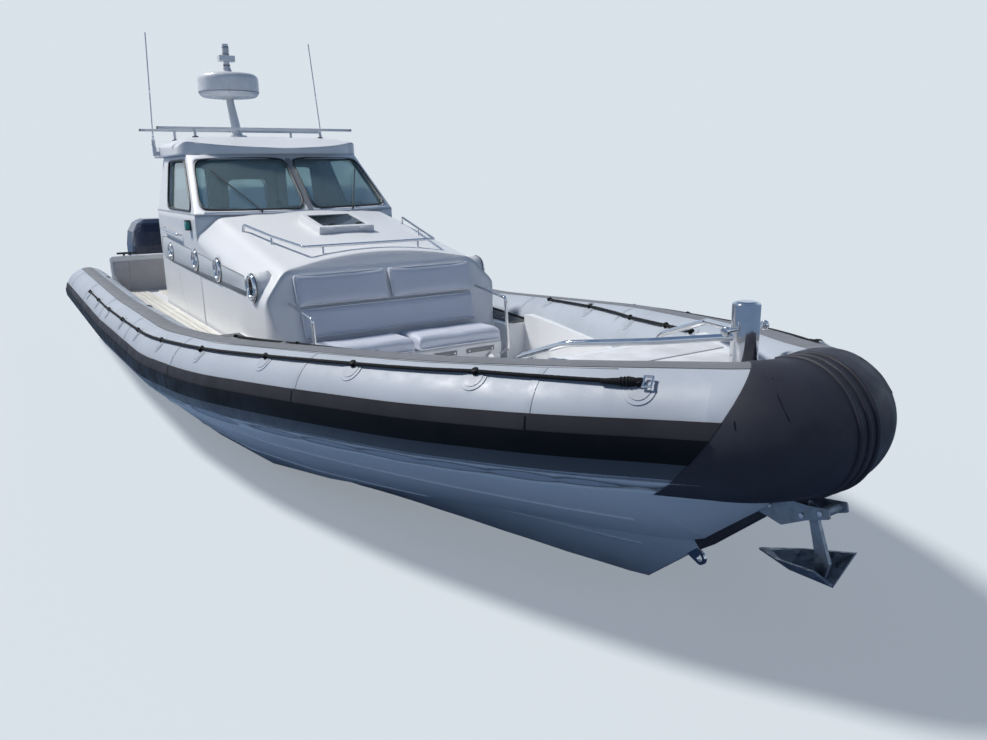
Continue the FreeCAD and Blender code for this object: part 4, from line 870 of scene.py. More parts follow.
def build_finishes(colours):
    tint = {key: tuple(getattr(colours, key)) for key in colours.__annotations__}
    FINISHES.update({
        "gelcoat": make_gelcoat("gelcoat", tint["gelcoat"]),
        "cabin": make_gelcoat("cabin_gelcoat", tint["gelcoat"], 0.0, 0.075),
        "roof": make_gelcoat("roof_gelcoat", tint["gelcoat"], 0.0, 0.030),
        "hull": make_gelcoat("hull_gelcoat", tint["gelcoat"], 0.25, 0.015),
        "tube": make_fabric("tube_fabric", tint["tube"]),
        "tube_worn": make_fabric("worn_tube_fabric", shade(tint["tube"], 0.93), 0.45, 0.22),
        "band": make_fabric("wear_band_fabric", tint["band"], 0.55, 0.2),
        # Painted light: the rubber's lit colour goes on the upper strake and its shaded near-black on the
        # lower strake
        "strake": make_rubber("upper_strake_rubber", tint["strake"], 0.5),
        "strake_low": make_rubber("lower_strake_rubber", tint["strake_low"], 0.42),
        "cap": make_rubber("nose_cap_fabric", tint["cap"], 0.56, 0.4),
        # Painted shade: the tube's underside fabric, coloured dark as it looks in shade
        "strip": make_fabric("lower_strip_fabric", tint["strip"], 0.3, 0.1),
        # Painted shade: the cushions' vinyl is coloured darker and bluer, as it looks in shade
        "vinyl": make_vinyl("cushion_vinyl", tint["vinyl"]),
        "piping": make_vinyl("cushion_piping", (0.78, 0.79, 0.81)),
        "stainless": make_metal("polished_stainless", (0.70, 0.70, 0.71), 0.10),
        "galvanised": make_metal("galvanised_steel", (0.30, 0.33, 0.37), 0.48, 0.3),
        "alloy": make_paint("painted_alloy", (0.78, 0.79, 0.80), 0.35),
        "dome": make_plastic("dome_plastic", (0.76, 0.77, 0.78), 0.3, 0.03),
        "black": make_plastic("black_plastic", (0.018, 0.018, 0.020), 0.4),
        "console": make_plastic("console_moulding", (0.045, 0.048, 0.055), 0.5),
        "grey": make_plastic("grey_plastic", (0.22, 0.23, 0.24), 0.45),
        "lining": make_plastic("cockpit_lining", tint["lining"], 0.6, 0.2),
        "slats": make_slats("deck_slats", tint["slats"]),
        "nonslip": make_nonslip("nonslip_tread", (0.10, 0.105, 0.11)),
        "tread": make_nonslip("moulded_tread", (0.66, 0.68, 0.70)),
        "pale_grey": make_gelcoat("pale_grey_film", (0.60, 0.63, 0.65)),
        "stripe": make_gelcoat("stripe_film", (0.115, 0.13, 0.14)),
        "helm_vinyl": make_vinyl("helm_seat_vinyl", (0.10, 0.11, 0.125)),
        "glass": make_glass("window_glass", tint["glass"]),
        "dark_glass": make_plastic("dark_glass", (0.012, 0.018, 0.022), 0.05, 0.0),
        "rope": make_rope("black_rope", (0.006, 0.006, 0.007)),
        "cowl": make_paint("cowl_paint", tint["cowl"], 0.22, 0.25),
        "engine": make_paint("engine_paint", (0.020, 0.026, 0.050), 0.4),
        "bracket": make_paint("bracket_paint", (0.035, 0.038, 0.050), 0.5),
        "prop": make_metal("propeller_steel", (0.55, 0.55, 0.56), 0.25),
        "lens_green": make_lens("green_lens", (0.004, 0.34, 0.29)),
        "lens_red": make_lens("red_lens", (0.45, 0.01, 0.01)),
        "lens_clear": make_lens("clear_lens", (0.75, 0.76, 0.76)),
    })


def coat(piece, finish):
    """Gives every slot of a piece one finish."""
    material = FINISHES[finish]
    if not piece.material_slots:
        piece.data.materials.append(material)
        return
    for place in piece.material_slots:
        place.link = "OBJECT"
        place.material = material


def dress(piece, finish, body="boat"):
    """The last step for a new piece: its finish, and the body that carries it."""
    coat(piece, finish)
    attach(piece, body)


# The finish of each of the frame's solids
CAD_FINISHES = {
    "hull": ("hull",),
    "cabin": ("cabin",),
    "roof": ("wheelhouse", "wheelhouse_roof"),
    "gelcoat": ("deck", "hatch_frame", "hatch_lid", "seat_base", "cabin_door"),
    "glass": ("windows", "door_glass"),
    "dark_glass": ("portlight_glass", "hatch_glass"),
    "tube": ("tube_collar",),
    "band": ("tube_top_bands",),
    # Painted light: the two strakes take one rubber's lit and shaded colours
    "strake": ("upper_strakes",),
    "strake_low": ("rubbing_strakes",),
    # Painted shade: the lower strips are tube fabric coloured dark as in shade
    "strip": ("lower_strips",),
    "rope": ("lifelines", "inner_lines"),
    "cap": ("nose_cap", "stem_plate"),
    "stainless": ("portlights", "bow_eye", "samson_post", "bow_rails", "seat_rails", "coachroof_rail",
                  "grab_rails"),
    "galvanised": ("bow_roller", "anchor"),
    "alloy": ("roof_rack", "radar_mast"),
    "dome": ("antennas", "radar_dome", "mast_light"),
    "black": ("nav_lights", "cleats", "wipers", "helm_column", "steering_wheel"),
    "lining": ("cockpit_panel",),
    "slats": ("deck_slats",),
    "console": ("helm_console", "pilot_seats"),
    "vinyl": ("seat_cushions", "back_pads"),
    "bracket": ("stbd_bracket", "port_bracket", "stbd_swivel", "port_swivel"),
    "engine": ("stbd_leg", "port_leg"),
    "cowl": ("stbd_cowl", "port_cowl"),
    "prop": ("stbd_propeller", "port_propeller"),
}


class BOAT_OT_finishes(bpy.types.Operator):
    """Makes the finishes and gives each solid of the frame its own"""

    bl_idname = "boat.finishes"
    bl_label = "Finishes"

    def execute(self, context):
        build_finishes(context.scene.boat_colours)
        for finish, nodes in CAD_FINISHES.items():
            for node in nodes:
                coat(NODES[node], finish)
        return {"FINISHED"}


# Patch and pad under each lifeline ring: how far the patch lies off the tube, thicknesses, the pad's share of
# the patch's radius, and the share of it between the rings of faces
PATCH_LIFT = 0.0004
PATCH_THICKNESS = 0.0030
PAD_THICKNESS = 0.0024
PAD_SHARE = 0.70
FACE_RING_SHARE = 0.22
# Angles of a joint's tapes below and above the wear band; aft of the break, the upper one is shorter
OUTER_TAPE = (22.5, 73.5)
INNER_TAPE = (101.5, 138.0)
INNER_TAPE_AFT = (101.5, 128.0)
TAPE_BREAK = -0.5
TAPE_THICKNESS = 0.0016
# Angles of a joint's line in the upper strake
STRAKE_JOINT = (7.5, 20.0)
# Lashing at a lifeline's end: how far behind the last ring, radius
LASHING = ((0.130, 0.0100), (0.070, 0.0150), (0.030, 0.0195), (0.002, 0.0130))
# Turns of cord round it: how far behind the last ring, radius
LASHING_TURNS = ((0.062, 0.0158), (0.050, 0.0172), (0.038, 0.0186))
LASHING_LIFT = 0.0175
# Air valves inside the wear band: x of each, angle
VALVES = (-4.0, -1.4, 1.7)
VALVE_ANGLE = 112.0


class BOAT_OT_tube_trim(bpy.types.Operator):
    """Ring patches, webbing tabs, joint tapes, valves, end fittings and nose seams on the collar tube"""

    bl_idname = "boat.tube_trim"
    bl_label = "Tube trim"

    def execute(self, context):
        sizes = context.scene.boat_sizes
        self.patches(sizes)
        self.tapes(sizes)
        self.end_fittings()
        self.valves()
        self.cap_seams()
        return {"FINISHED"}

    def patches(self, sizes):
        radius = sizes.patch_radius
        outer = disc("patch_outer", radius, 3, radius * FACE_RING_SHARE)
        inner = disc("patch_inner", radius * PAD_SHARE, 2, radius * FACE_RING_SHARE)
        tab = block("patch_tab", (-0.011, -0.017, 0.001), (0.011, 0.017, 0.027), 0.006)
        patches, pads, tabs = [], [], []
        rings = [(x, angle, angle - sizes.patch_drop) for x, angle in LIFELINE_RINGS]
        rings += [(x, angle, angle + sizes.patch_drop) for x, angle in GRABLINE_RINGS]
        for side, _ in SIDES:
            for x, angle, patch_angle in rings:
                heading = along(x, angle, side)
                spot, facing = tube_spot(x, patch_angle, 0.0, side)
                ahead = level(heading, facing)
                patch = placed(outer, "patch", spot, facing, ahead)
                patches.append(wrap(patch, PATCH_LIFT, PATCH_THICKNESS))
                pad = placed(inner, "pad", spot, facing, ahead)
                pads.append(wrap(pad, PATCH_LIFT + PATCH_THICKNESS, PAD_THICKNESS))
                spot, facing = tube_spot(x, angle, 0.0, side)
                tabs.append(placed(tab, "tab", spot, facing, level(heading, facing)))
        remove(outer, inner, tab)
        dress(bevel(join("ring_patches", patches), 0.0010, 2, 60.0), "tube")
        dress(bevel(join("ring_patch_pads", pads), 0.0008, 2, 60.0), "tube_worn")
        dress(join("rope_tabs", tabs), "strake_low")

    def tapes(self, sizes):
        strips, seams, edges = [], [], []
        for x in TUBE_JOINTS:
            for low, high in (OUTER_TAPE, INNER_TAPE_AFT if x < TAPE_BREAK else INNER_TAPE):
                spots = [tube_spot(x, angle, 0.0014)[0] for angle in stations(low, high, 4.0)]
                across = along(x, (low + high) / 2) * sizes.seam_width
                strips.append(tape("joint", spots, across, TAPE_THICKNESS))
            spots = [tube_spot(x, angle, 0.0102)[0] for angle in stations(*STRAKE_JOINT, 3.0)]
            seams.append(tape("joint", spots, along(x, 14.0) * sizes.seam_width * 0.2, 0.0014))
        dress(both_sides("strake_joints", seams), "strake_low")
        dress(both_sides("tube_joint_tapes", strips), "tube_worn")
        for angle in (TOP_BAND_ANGLES[0] - 0.6, TOP_BAND_ANGLES[1] + 0.6):
            spots = [tube_spot(x, angle, 0.0010)[0] for x in stations(-5.05, 3.86, 0.22)]
            edges.append(strand("edge", spots, 0.0022, sides=2))
        dress(both_sides("top_band_edges", edges), "band")

    def end_fittings(self):
        steel, rope = [], []
        x, angle = LIFELINE_RINGS[-1]
        for side, _ in SIDES:
            heading = along(x, angle, side)
            spot, facing = tube_spot(x + 0.012, angle, 0.019, side)
            up = facing.cross(heading).normalized()
            corners = [spot + heading * ahead + up * rise for ahead, rise in END_RING]
            steel.append(strand("ring", corners, 0.0050, closed=True))
            places = [(tube_spot(x - back, angle, LASHING_LIFT, side)[0], size) for back, size in LASHING]
            for (start, low), (end, high) in zip(places, places[1:]):
                rope.append(drum("lashing", start, end, low, 24, 0.0, high))
            for back, size in LASHING_TURNS:
                spot = tube_spot(x - back, angle, LASHING_LIFT, side)[0]
                rope.append(hoop("turn", spot, heading, size, 0.0032, 28, 8))
        dress(join("lifeline_end_rings", steel), "stainless")
        dress(join("lifeline_knots", rope), "rope")

    def cap_seams(self):
        seams = []
        for line in CAP_SEAMS:
            points = []
            for spot in line:
                _, near, normal, _ = NODES["nose_cap"].closest_point_on_mesh(Vector(spot))
                points.append(near + normal * 0.0014)
            seams.append(strand("seam", points, 0.0017, sides=2))
        dress(both_sides("nose_cap_seams", seams), "strake_low")

    def valves(self):
        valves = []
        for side, _ in SIDES:
            for x in VALVES:
                spot, facing = tube_spot(x, VALVE_ANGLE, -0.002, side)
                valves.append(drum("base", spot, spot + facing * 0.008, 0.030, 32, 0.002))
                foot, top = spot + facing * 0.006, spot + facing * 0.016
                valves.append(drum("cap", foot, top, 0.019, 24, 0.003, 0.016))
        dress(join("air_valves", valves), "grey")


# Side lockers: height of their tops, the ends of the two lids, and how far from the tube the lids stop
LOCKER_TOP = 0.7755
LOCKER_LIDS = ((-0.03, 0.43), (0.45, 0.90))
LOCKER_CORNERS = (-0.03, 0.44, 0.90)
LOCKER_GAP = 0.022
# Joints in the bulkhead's lining: y of each
LINING_JOINTS = (-0.56, 0.0, 0.56)
# Treads on the foredeck: from x, to x, and how far inside the tube each end stops
TREADS = ((3.36, 3.62), (3.66, 3.86))
TREAD_GAPS = (0.10, 0.09)
FOREDECK_TOP = 1.1305
# Tread in the bow: corners on one side
BOW_TREAD = ((2.40, 0.62), (3.24, 0.50))
BOW_SOLE_TOP = 0.8005


class BOAT_OT_deck_trim(bpy.types.Operator):
    """Rubber edges along the tube, locker tops, bulkhead capping and lining, and tread pads"""

    bl_idname = "boat.deck_trim"
    bl_label = "Deck trim"

    def execute(self, context):
        self.rubber()
        self.lockers()
        self.bulkhead()
        self.pads()
        return {"FINISHED"}

    def rubber(self):
        edges = []
        for start, end, height in DECK_EDGES:
            spots = [tube_spot(x, tube_height(x, height), 0.004)[0] for x in stations(start, end, 0.18)]
            edges.append(strand("edge", spots, 0.011))
        dress(both_sides("deck_edge_rubber", edges), "strake_low")

    def lockers(self):
        tops, rims, knobs = [], [], []
        inner = CABIN_HALF + 0.020
        far = [tube_spot(x, tube_height(x, 0.790), LOCKER_GAP)[0].y for x in LOCKER_CORNERS]
        for (start, end), left, right in zip(LOCKER_LIDS, far, far[1:]):
            corners = ((start, inner), (end, inner), (end, right), (start, left))
            tops.append(plate("top", [(x, y, LOCKER_TOP) for x, y in corners], UP * 0.009, 0.003))
            x, y = (start + end) / 2, (inner + min(left, right)) / 2
            rims.append(hoop("rim", (x, y, 0.785), UP, 0.018, 0.003, 28, 8))
            knobs.append(drum("knob", (x, y, 0.784), (x, y, 0.791), 0.015, 24, 0.003))
        dress(both_sides("locker_tops", tops), "nonslip")
        dress(both_sides("locker_latch_rims", rims), "stainless")
        dress(both_sides("locker_latches", knobs), "black")

    def bulkhead(self):
        cap = block("bulkhead_capping", (-4.150, -1.302, 1.058), (-4.070, 1.302, 1.080), 0.008)
        dress(cap, "gelcoat")
        outline = [(-4.0790, y, z) for y, z in LINING_EDGE]
        side_panel = plate("bulkhead_side_lining", outline, AHEAD * 0.0125, 0.002)
        dress(both_sides("bulkhead_side_lining", [side_panel]), "lining")
        seams = []
        for y in LINING_JOINTS:
            seams.append(block("seam", (-4.0665, y - 0.004, 0.672), (-4.0625, y + 0.004, 1.008), 0.0012))
        dress(join("bulkhead_seams", seams), "black")

    def pads(self):
        outlines = []
        for ends in TREADS:
            corners = [(x, tube_spot(x, 130.0, 0.0)[0].y - gap) for x, gap in zip(ends, TREAD_GAPS)]
            outlines.append((corners, FOREDECK_TOP))
        outlines.append((BOW_TREAD, BOW_SOLE_TOP))
        pads = []
        for ((start, near), (end, far)), z in outlines:
            outline = ((start, -near, z), (start, near, z), (end, far, z), (end, -far, z))
            pads.append(plate("pad", outline, UP * 0.005, 0.002))
        dress(join("tread_pads", pads), "tread")


# Portlights: how far out the rims, beads and screws lie, and their sizes
RIM_Y = 0.9585
BEAD_Y = 0.954
SCREW_Y = 0.9755
RIM_RADIUS = 0.0178
RIM_INSET = 0.0185
SCREWS = 8
# Boss under the foremost portlight: middle, depth, flare and wall
BOSS_Y = 0.8915
BOSS_DEPTH = 0.120
BOSS_FLARE = 0.012
BOSS_WALL = 0.020
# Seat locker's hinge plates: from y, to y
HINGE_PLATES = ((0.148, 0.336), (0.424, 0.667), (-0.336, -0.148), (-0.667, -0.424))
HINGE_Z = 0.651
LATCH_SPOT = (1.0905, 0.64, 0.585)


class BOAT_OT_cabin_trim(bpy.types.Operator):
    """Side bands and stripes, portlight rims, window gaskets, lamp lenses and seat fittings"""

    bl_idname = "boat.cabin_trim"
    bl_label = "Cabin trim"

    def execute(self, context):
        self.side_band()
        self.portlights()
        self.windscreen()
        self.side_windows()
        self.lamps()
        self.seat_fittings()
        return {"FINISHED"}

    def side_band(self):
        wall = CABIN_HALF + 0.0004
        outline = [(x, wall, z) for x, z in BAND_TOP + tuple(reversed(STRIPE_TOP))]
        band = plate("side_band", outline, TO_PORT * 0.0022, 0.0008)
        dress(both_sides("side_band", [band]), "pale_grey")
        outline = [(x, wall, z) for x, z in STRIPE_TOP[:-1] + STRIPE_BOTTOM]
        stripe = plate("side_stripe", outline, TO_PORT * 0.0034, 0.0008)
        dress(both_sides("side_stripe", [stripe]), "stripe")
        bead = strand("side_band_bead", [(x, wall + 0.0018, z) for x, z in BAND_TOP], 0.0035, sides=2)
        dress(both_sides("side_band_bead", [bead]), "grey")
        seam = strand("moulding_seam", [(x, CABIN_HALF + 0.0006, z) for x, z in MOULDING_SEAM], 0.0012, 2)
        dress(both_sides("moulding_seam", [seam]), "pale_grey")

    def portlights(self):
        rims, beads, screws = [], [], []
        for x, z, radius in PORTLIGHTS:
            middle = radius - RIM_INSET
            rims.append(hoop("rim", (x, RIM_Y, z), TO_PORT, middle, RIM_RADIUS, 64, 16))
            beads.append(hoop("bead", (x, BEAD_Y, z), TO_PORT, radius + 0.001, 0.0030, 64, 8))
            for turn in range(SCREWS):
                angle = math.radians(360.0 / SCREWS * (turn + 0.5))
                spot = Vector((x + math.cos(angle) * middle, SCREW_Y, z + math.sin(angle) * middle))
                screws.append(drum("screw", spot, spot + TO_PORT * 0.003, 0.0042, 12, 0.0008))
        self.boss(*PORTLIGHTS[0])
        dress(both_sides("portlight_rims", rims), "stainless")
        dress(both_sides("portlight_beads", beads), "black")
        dress(both_sides("portlight_screws", screws), "galvanised")

    def boss(self, x, z, radius):
        clear()
        bpy.ops.mesh.primitive_cone_add(
            vertices=64, radius1=radius, radius2=radius + BOSS_FLARE, depth=BOSS_DEPTH,
            end_fill_type="NOTHING", location=(x, BOSS_Y, z), rotation=(math.pi / 2, 0.0, 0.0))
        boss = settle("portlight_boss")
        modify(boss, "SOLIDIFY", thickness=BOSS_WALL, offset=-1.0)
        smooth(outward(boss))
        dress(both_sides("portlight_boss", [boss]), "cabin")

    def windscreen(self):
        for side, word in SIDES:
            corners = [self.screen(side * y, z, 0.006) for y, z in SCREEN_CORNERS]
            line = [self.screen(spot.y, spot.z, 0.006) for spot in traced(corners, (0.08, 0.5, 0.92))]
            dress(strand(word + "_screen_gasket", line, 0.009), "black")
        foot = [self.screen(y, 1.652, 0.004) for y in stations(-0.87, 0.87, 0.145)]
        dress(strand("screen_foot_trim", foot, 0.009), "stainless")
        bar = [self.screen(0.0, z, 0.003) for z in (1.66, 1.80, 1.95, 2.12)]
        dress(tape("screen_mullion", bar, TO_PORT * 0.046, 0.008), "grey")

    def screen(self, y, z, lift):
        """A place on the windscreen, which leans back and bows round from the centreline to its corners."""
        share = (z - SILL_Z) / WINDOW_RISE
        centre = -0.883 - 0.629 * share
        corner = -1.220 - 0.600 * share
        half = CABIN_HALF - WALL_LEAN * share
        x = centre - (centre - corner) * (y / half) ** 2
        slope = 2.0 * (centre - corner) * y / half ** 2
        out = Vector((0.77, 0.77 * slope, 0.64)).normalized()
        return Vector((x, y, z)) + out * lift

    def side_windows(self):
        outlines = (
            ("side", [self.side_spot(x, z) for x, z in SIDE_WINDOW]),
            ("aft", [Vector((-2.8630, y, z)) for y, z in AFT_WINDOW]),
        )
        for word, corners in outlines:
            name = word + "_window_gaskets"
            gasket = strand(name, traced(corners, (0.06, 0.5, 0.94)), 0.010)
            dress(both_sides(name, [gasket]), "black")

    def side_spot(self, x, z):
        """A place on the wheelhouse side, which leans in from the sill to the roof."""
        return Vector((x, WALL_HALF - WALL_LEAN * (z - SILL_Z) / WINDOW_RISE, z))

    def lamps(self):
        for (side, word), finish in zip(reversed(SIDES), ("lens_green", "lens_red")):
            inner, outer = sorted((side * 0.960, side * 0.9925))
            lens = block(word + "_lamp_lens", (-1.474, inner, 1.510), (-1.3965, outer, 1.580), 0.008)
            dress(lens, finish)

    def seat_fittings(self):
        plates, screws = [], []
        for low, high in HINGE_PLATES:
            plates.append(
                block("plate", (1.0845, low, HINGE_Z - 0.017), (1.0925, high, HINGE_Z + 0.017), 0.002))
            for y in (low + 0.02, high - 0.02):
                screws.append(drum("screw", (1.0915, y, HINGE_Z), (1.0955, y, HINGE_Z), 0.006, 14, 0.001))
        dress(join("seat_hinge_plates", plates), "grey")
        dress(join("seat_hinge_screws", screws), "stainless")
        spot = Vector(LATCH_SPOT)
        cup = [hoop("cup", spot, AHEAD, 0.026, 0.004, 32, 8)]
        cup.append(drum("cup", spot - AHEAD * 0.0025, spot + AHEAD * 0.0030, 0.022, 28, 0.002))
        dress(join("seat_locker_latch", cup), "stainless")


# Back of the bow seat: foot and top of its face
BACK_FOOT = Vector((0.735, 0.0, 0.81))
BACK_TOP = Vector((0.585, 0.0, 1.29))
WELT_RADIUS = 0.0045
# How full each kind of pad is, from slack to tight
PAD_SHRINK = 0.985
HELM_SHRINK = 0.99
HELM_SEAT_Y = 0.47
# Helm backrest seen from the side: x, z
HELM_BACK = ((-2.312, 1.075), (-2.392, 1.662), (-2.522, 1.652), (-2.448, 1.075))


class BOAT_OT_cushions(bpy.types.Operator):
    """The bow seat's cushions and back pads, and the covers of the helm seats"""

    bl_idname = "boat.cushions"
    bl_label = "Cushions"

    def execute(self, context):
        sizes = context.scene.boat_sizes
        self.bow_seat(sizes)
        self.back_pads(sizes)
        self.helm_seats(sizes)
        return {"FINISHED"}

    def bow_seat(self, sizes):
        made, welts = [], []
        for number, part in enumerate(loose_parts("seat_cushions", "bow_cushion")):
            spots = [vertex.co for vertex in part.data.vertices]
            low, high = (Vector([pick(spot[axis] for spot in spots) for axis in range(3)])
                         for pick in (min, max))
            made.append(swell(part, "bow_cushion_%d" % number, sizes.voxel, sizes.swell, PAD_SHRINK,
                              lambda spot, floor=low.z + 0.02: spot.z < floor))
            line = [(high.x - 0.002, y, low.z + 0.018) for y in (low.y + 0.022, high.y - 0.022)]
            welts.append(strand("welt", line, WELT_RADIUS, 2, sides=2))
        for piece in made:
            dress(piece, "vinyl")
        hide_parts("seat_cushions")
        dress(join("bow_cushion_welts", welts), "piping")

    def back_pads(self, sizes):
        rise = (BACK_TOP - BACK_FOOT).normalized()
        out = Vector((rise.z, 0.0, -rise.x))
        made, welts = [], []
        for number, part in enumerate(loose_parts("back_pads", "back_pad")):
            spots = [vertex.co - BACK_FOOT for vertex in part.data.vertices]
            low, high = min(spot.y for spot in spots) + 0.012, max(spot.y for spot in spots) - 0.012
            start = min(spot.dot(rise) for spot in spots) + 0.012
            end = max(spot.dot(rise) for spot in spots) - 0.012
            face = BACK_FOOT + out * (max(spot.dot(out) for spot in spots) - 0.009)
            made.append(swell(part, "back_pad_%d" % number, sizes.voxel, sizes.swell * 0.7, PAD_SHRINK,
                              lambda spot: (spot - BACK_FOOT).dot(out) < 0.008))
            corners = [face + rise * up + TO_PORT * y
                       for y, up in ((low, start), (high, start), (high, end), (low, end))]
            welts.append(strand("welt", traced(corners, (0.03, 0.5, 0.97)), WELT_RADIUS, sides=2))
        for piece in made:
            dress(piece, "vinyl")
        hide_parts("back_pads")
        dress(join("back_pad_welts", welts), "piping")

    def helm_seats(self, sizes):
        for side, word in SIDES:
            y = side * HELM_SEAT_Y
            seat = block("cover", (-2.412, y - 0.242, 0.970), (-1.948, y + 0.242, 1.118), 0.03)
            outline = [(x, y - 0.232, z) for x, z in HELM_BACK]
            self.cover(seat, word + "_helm_cushion", sizes)
            self.cover(plate("cover", outline, TO_PORT * 0.464, 0.03, 3), word + "_helm_backrest", sizes)

    def cover(self, base, name, sizes):
        piece = swell(base, name, sizes.voxel * 1.3, sizes.swell, HELM_SHRINK)
        dress(piece, "helm_vinyl")


# Set screws in a rail's flange: how many, and how far from the rail
FLANGE_SCREWS = 3
FLANGE_SCREW_REACH = 0.0245


class BOAT_OT_rails(bpy.types.Operator):
    """Flanges and set screws at the feet of the bow rails"""

    bl_idname = "boat.rails"
    bl_label = "Rail fittings"

    def execute(self, context):
        flanges, screws = [], []
        for foot in RAIL_FEET:
            spot = Vector(foot)
            flanges.append(drum("flange", spot - UP * 0.001, spot + UP * 0.007, 0.032, 36, 0.002))
            flanges.append(drum("collar", spot + UP * 0.004, spot + UP * 0.024, 0.019, 28, 0.002, 0.017))
            side = UP.orthogonal().normalized()
            for turn in range(FLANGE_SCREWS):
                arm = Matrix.Rotation(math.radians(120.0 * turn + 30.0), 3, UP) @ side
                head = spot + arm * FLANGE_SCREW_REACH + UP * 0.0065
                screws.append(drum("screw", head, head + UP * 0.0025, 0.0042, 12, 0.0008))
        dress(join("rail_flanges", flanges), "stainless")
        dress(join("rail_flange_screws", screws), "galvanised")
        return {"FINISHED"}


# Spray lines: height amidships, slope
SPRAY_LINES = ((0.34, -0.035), (0.12, -0.03))


class BOAT_OT_hull_lines(bpy.types.Operator):
    """Spray lines along the hull's sides"""

    bl_idname = "boat.hull_lines"
    bl_label = "Hull lines"

    def execute(self, context):
        lines = []
        for height, slope in SPRAY_LINES:
            facing = Vector((slope, 0.0, 1.0)).normalized()
            lines.append(cut_line("hull", "line", (0.0, 0.0, height), facing, 0.006,
                                  lambda spot: -5.05 < spot.x < 3.80 and abs(spot.y) > 0.10))
        dress(join("hull_spray_lines", lines), "hull")
        return {"FINISHED"}


# Seams round a cowl: height, slope, radius
COWL_X = -5.785
COWL_SEAMS = ((0.742, 0.05, 0.0055), (0.668, 0.0, 0.0045))
# Ribs along a cowl: distance from its middle; they end above the apron, and one more crosses the front
RIB_OFFSETS = (-0.150, 0.150)
RIB_FOOT = 0.80
FRONT_RIB_FOOT = 0.76
# Vents in a cowl's back: lowest one's place, step up and forward
VENTS = 5
VENT_X = -6.175
VENT_Z = 1.262
VENT_STEP = 0.020
# Bolts on a leg's midsection, clear of the swivel when the engine steers: x of each, distance from the middle
LEG_BOLTS = (-5.60, -5.74)
LEG_BOLT_Y = 0.072
LEG_BOLT_Z = 0.465
# Bolts on a gearcase: x of each, distance from the middle
CASE_BOLTS = (-5.57, -5.75)
CASE_BOLT_Y = 0.063
# Seams round a leg: height of each
LEG_SEAMS = (0.575, -0.150)
# Bolts through a bracket's sides: x, z, and the tilt hinge's nut
BRACKET_Y = 0.128
BRACKET_BOLTS = ((-5.15, 0.12), (-5.15, 0.30), (-5.16, 0.43))
TILT_NUT = (-5.30, 0.40)


class BOAT_OT_engines(bpy.types.Operator):
    """Cowl seams, ribs, vents and catches, bolts, anodes and propeller nuts of both engines"""

    bl_idname = "boat.engines"
    bl_label = "Engine trim"

    def execute(self, context):
        for side, word in SIDES:
            y = side * ENGINE_Y
            self.cowl(word, y)
            self.leg(word, y)
            self.propeller(word, y)
            self.bracket(word, y)
        return {"FINISHED"}

    def cowl(self, word, y):
        body, node = word + "_engine", word + "_cowl"
        seams = []
        for height, slope, radius in COWL_SEAMS:
            seams.append(cut_line(node, "seam", (COWL_X, y, height), (slope, 0.0, 1.0), radius))
        dress(join(node + "_seams", seams), "black", body)
        ribs = []
        for offset in RIB_OFFSETS:
            ribs.append(cut_line(node, "rib", (COWL_X, y + offset, 1.0), TO_PORT, 0.0060,
                                 lambda spot: spot.z > RIB_FOOT))
        ribs.append(cut_line(node, "rib", (-5.560, y, 1.0), (1.0, 0.0, -0.22), 0.0050,
                             lambda spot: spot.z > FRONT_RIB_FOOT))
        dress(join(node + "_ribs", ribs), "cowl", body)
        vents = []
        for row in range(VENTS):
            x, z = VENT_X + VENT_STEP * row, VENT_Z + VENT_STEP * row
            vents.append(
                block("vent", (x - 0.010, y - 0.095, z - 0.004), (x + 0.030, y + 0.095, z + 0.004), 0.003))
        dress(join(node + "_vents", vents), "black", body)
        catch = block(node + "_catch", (-6.252, y - 0.045, 0.700), (-6.205, y + 0.045, 0.735), 0.009)
        dress(catch, "black", body)

    def leg(self, word, y):
        body, node = word + "_engine", word + "_leg"
        bolts = []
        for x in LEG_BOLTS:
            for side in (-1, 1):
                spot = Vector((x, y + side * LEG_BOLT_Y, LEG_BOLT_Z))
                bolts.append(bolt("bolt", spot, TO_PORT * side * 0.011, 0.011))
        for x in CASE_BOLTS:
            for side in (-1, 1):
                spot = Vector((x, y + side * CASE_BOLT_Y, SHAFT_Z))
                bolts.append(bolt("bolt", spot, TO_PORT * side * 0.006, 0.009, sink=1.0))
        dress(join(node + "_bolts", bolts), "galvanised", body)
        seams = [cut_line(node, "seam", (0.0, y, height), UP, 0.004) for height in LEG_SEAMS]
        dress(join(node + "_seams", seams), "black", body)
        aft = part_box(node)[0].x
        anode = block(
            word + "_trim_anode", (aft + 0.04, y - 0.022, -0.500), (aft + 0.13, y + 0.022, -0.462), 0.007)
        dress(anode, "galvanised", body)

    def propeller(self, word, y):
        node = word + "_propeller"
        end = Vector((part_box(node)[0].x, y, SHAFT_Z))
        nut = drum("nut", end + AHEAD * 0.002, end - AHEAD * 0.030, 0.030, 6, 0.003, 0.022)
        rim = hoop("rim", end + AHEAD * 0.006, AHEAD, 0.049, 0.004, 40, 8)
        dress(join(node + "_nut", [nut, rim]), "prop", word + "_prop")

    def bracket(self, word, y):
        bolts = []
        for side in (-1, 1):
            for x, z in BRACKET_BOLTS:
                spot = Vector((x, y + side * BRACKET_Y, z))
                push = TO_PORT * side * 0.010
                bolts.append(bolt("bolt", spot, push, 0.013, 0.0015))
                bolts.append(drum("washer", spot - push * 0.2, spot + push * 0.35, 0.019, 24, 0.001))
            x, z = TILT_NUT
            spot = Vector((x, y + side * BRACKET_Y, z))
            bolts.append(bolt("nut", spot, TO_PORT * side * 0.014, 0.024, 0.002))
        dress(join(word + "_bracket_bolts", bolts), "galvanised")


# Bolts under the dome and round the mast's foot: height or x of each ring, its radius
DOME_BOLT_Z = 2.800
DOME_BOLT_REACH = 0.072
MAST_X = -3.035
MAST_BOLT_REACH = 0.078
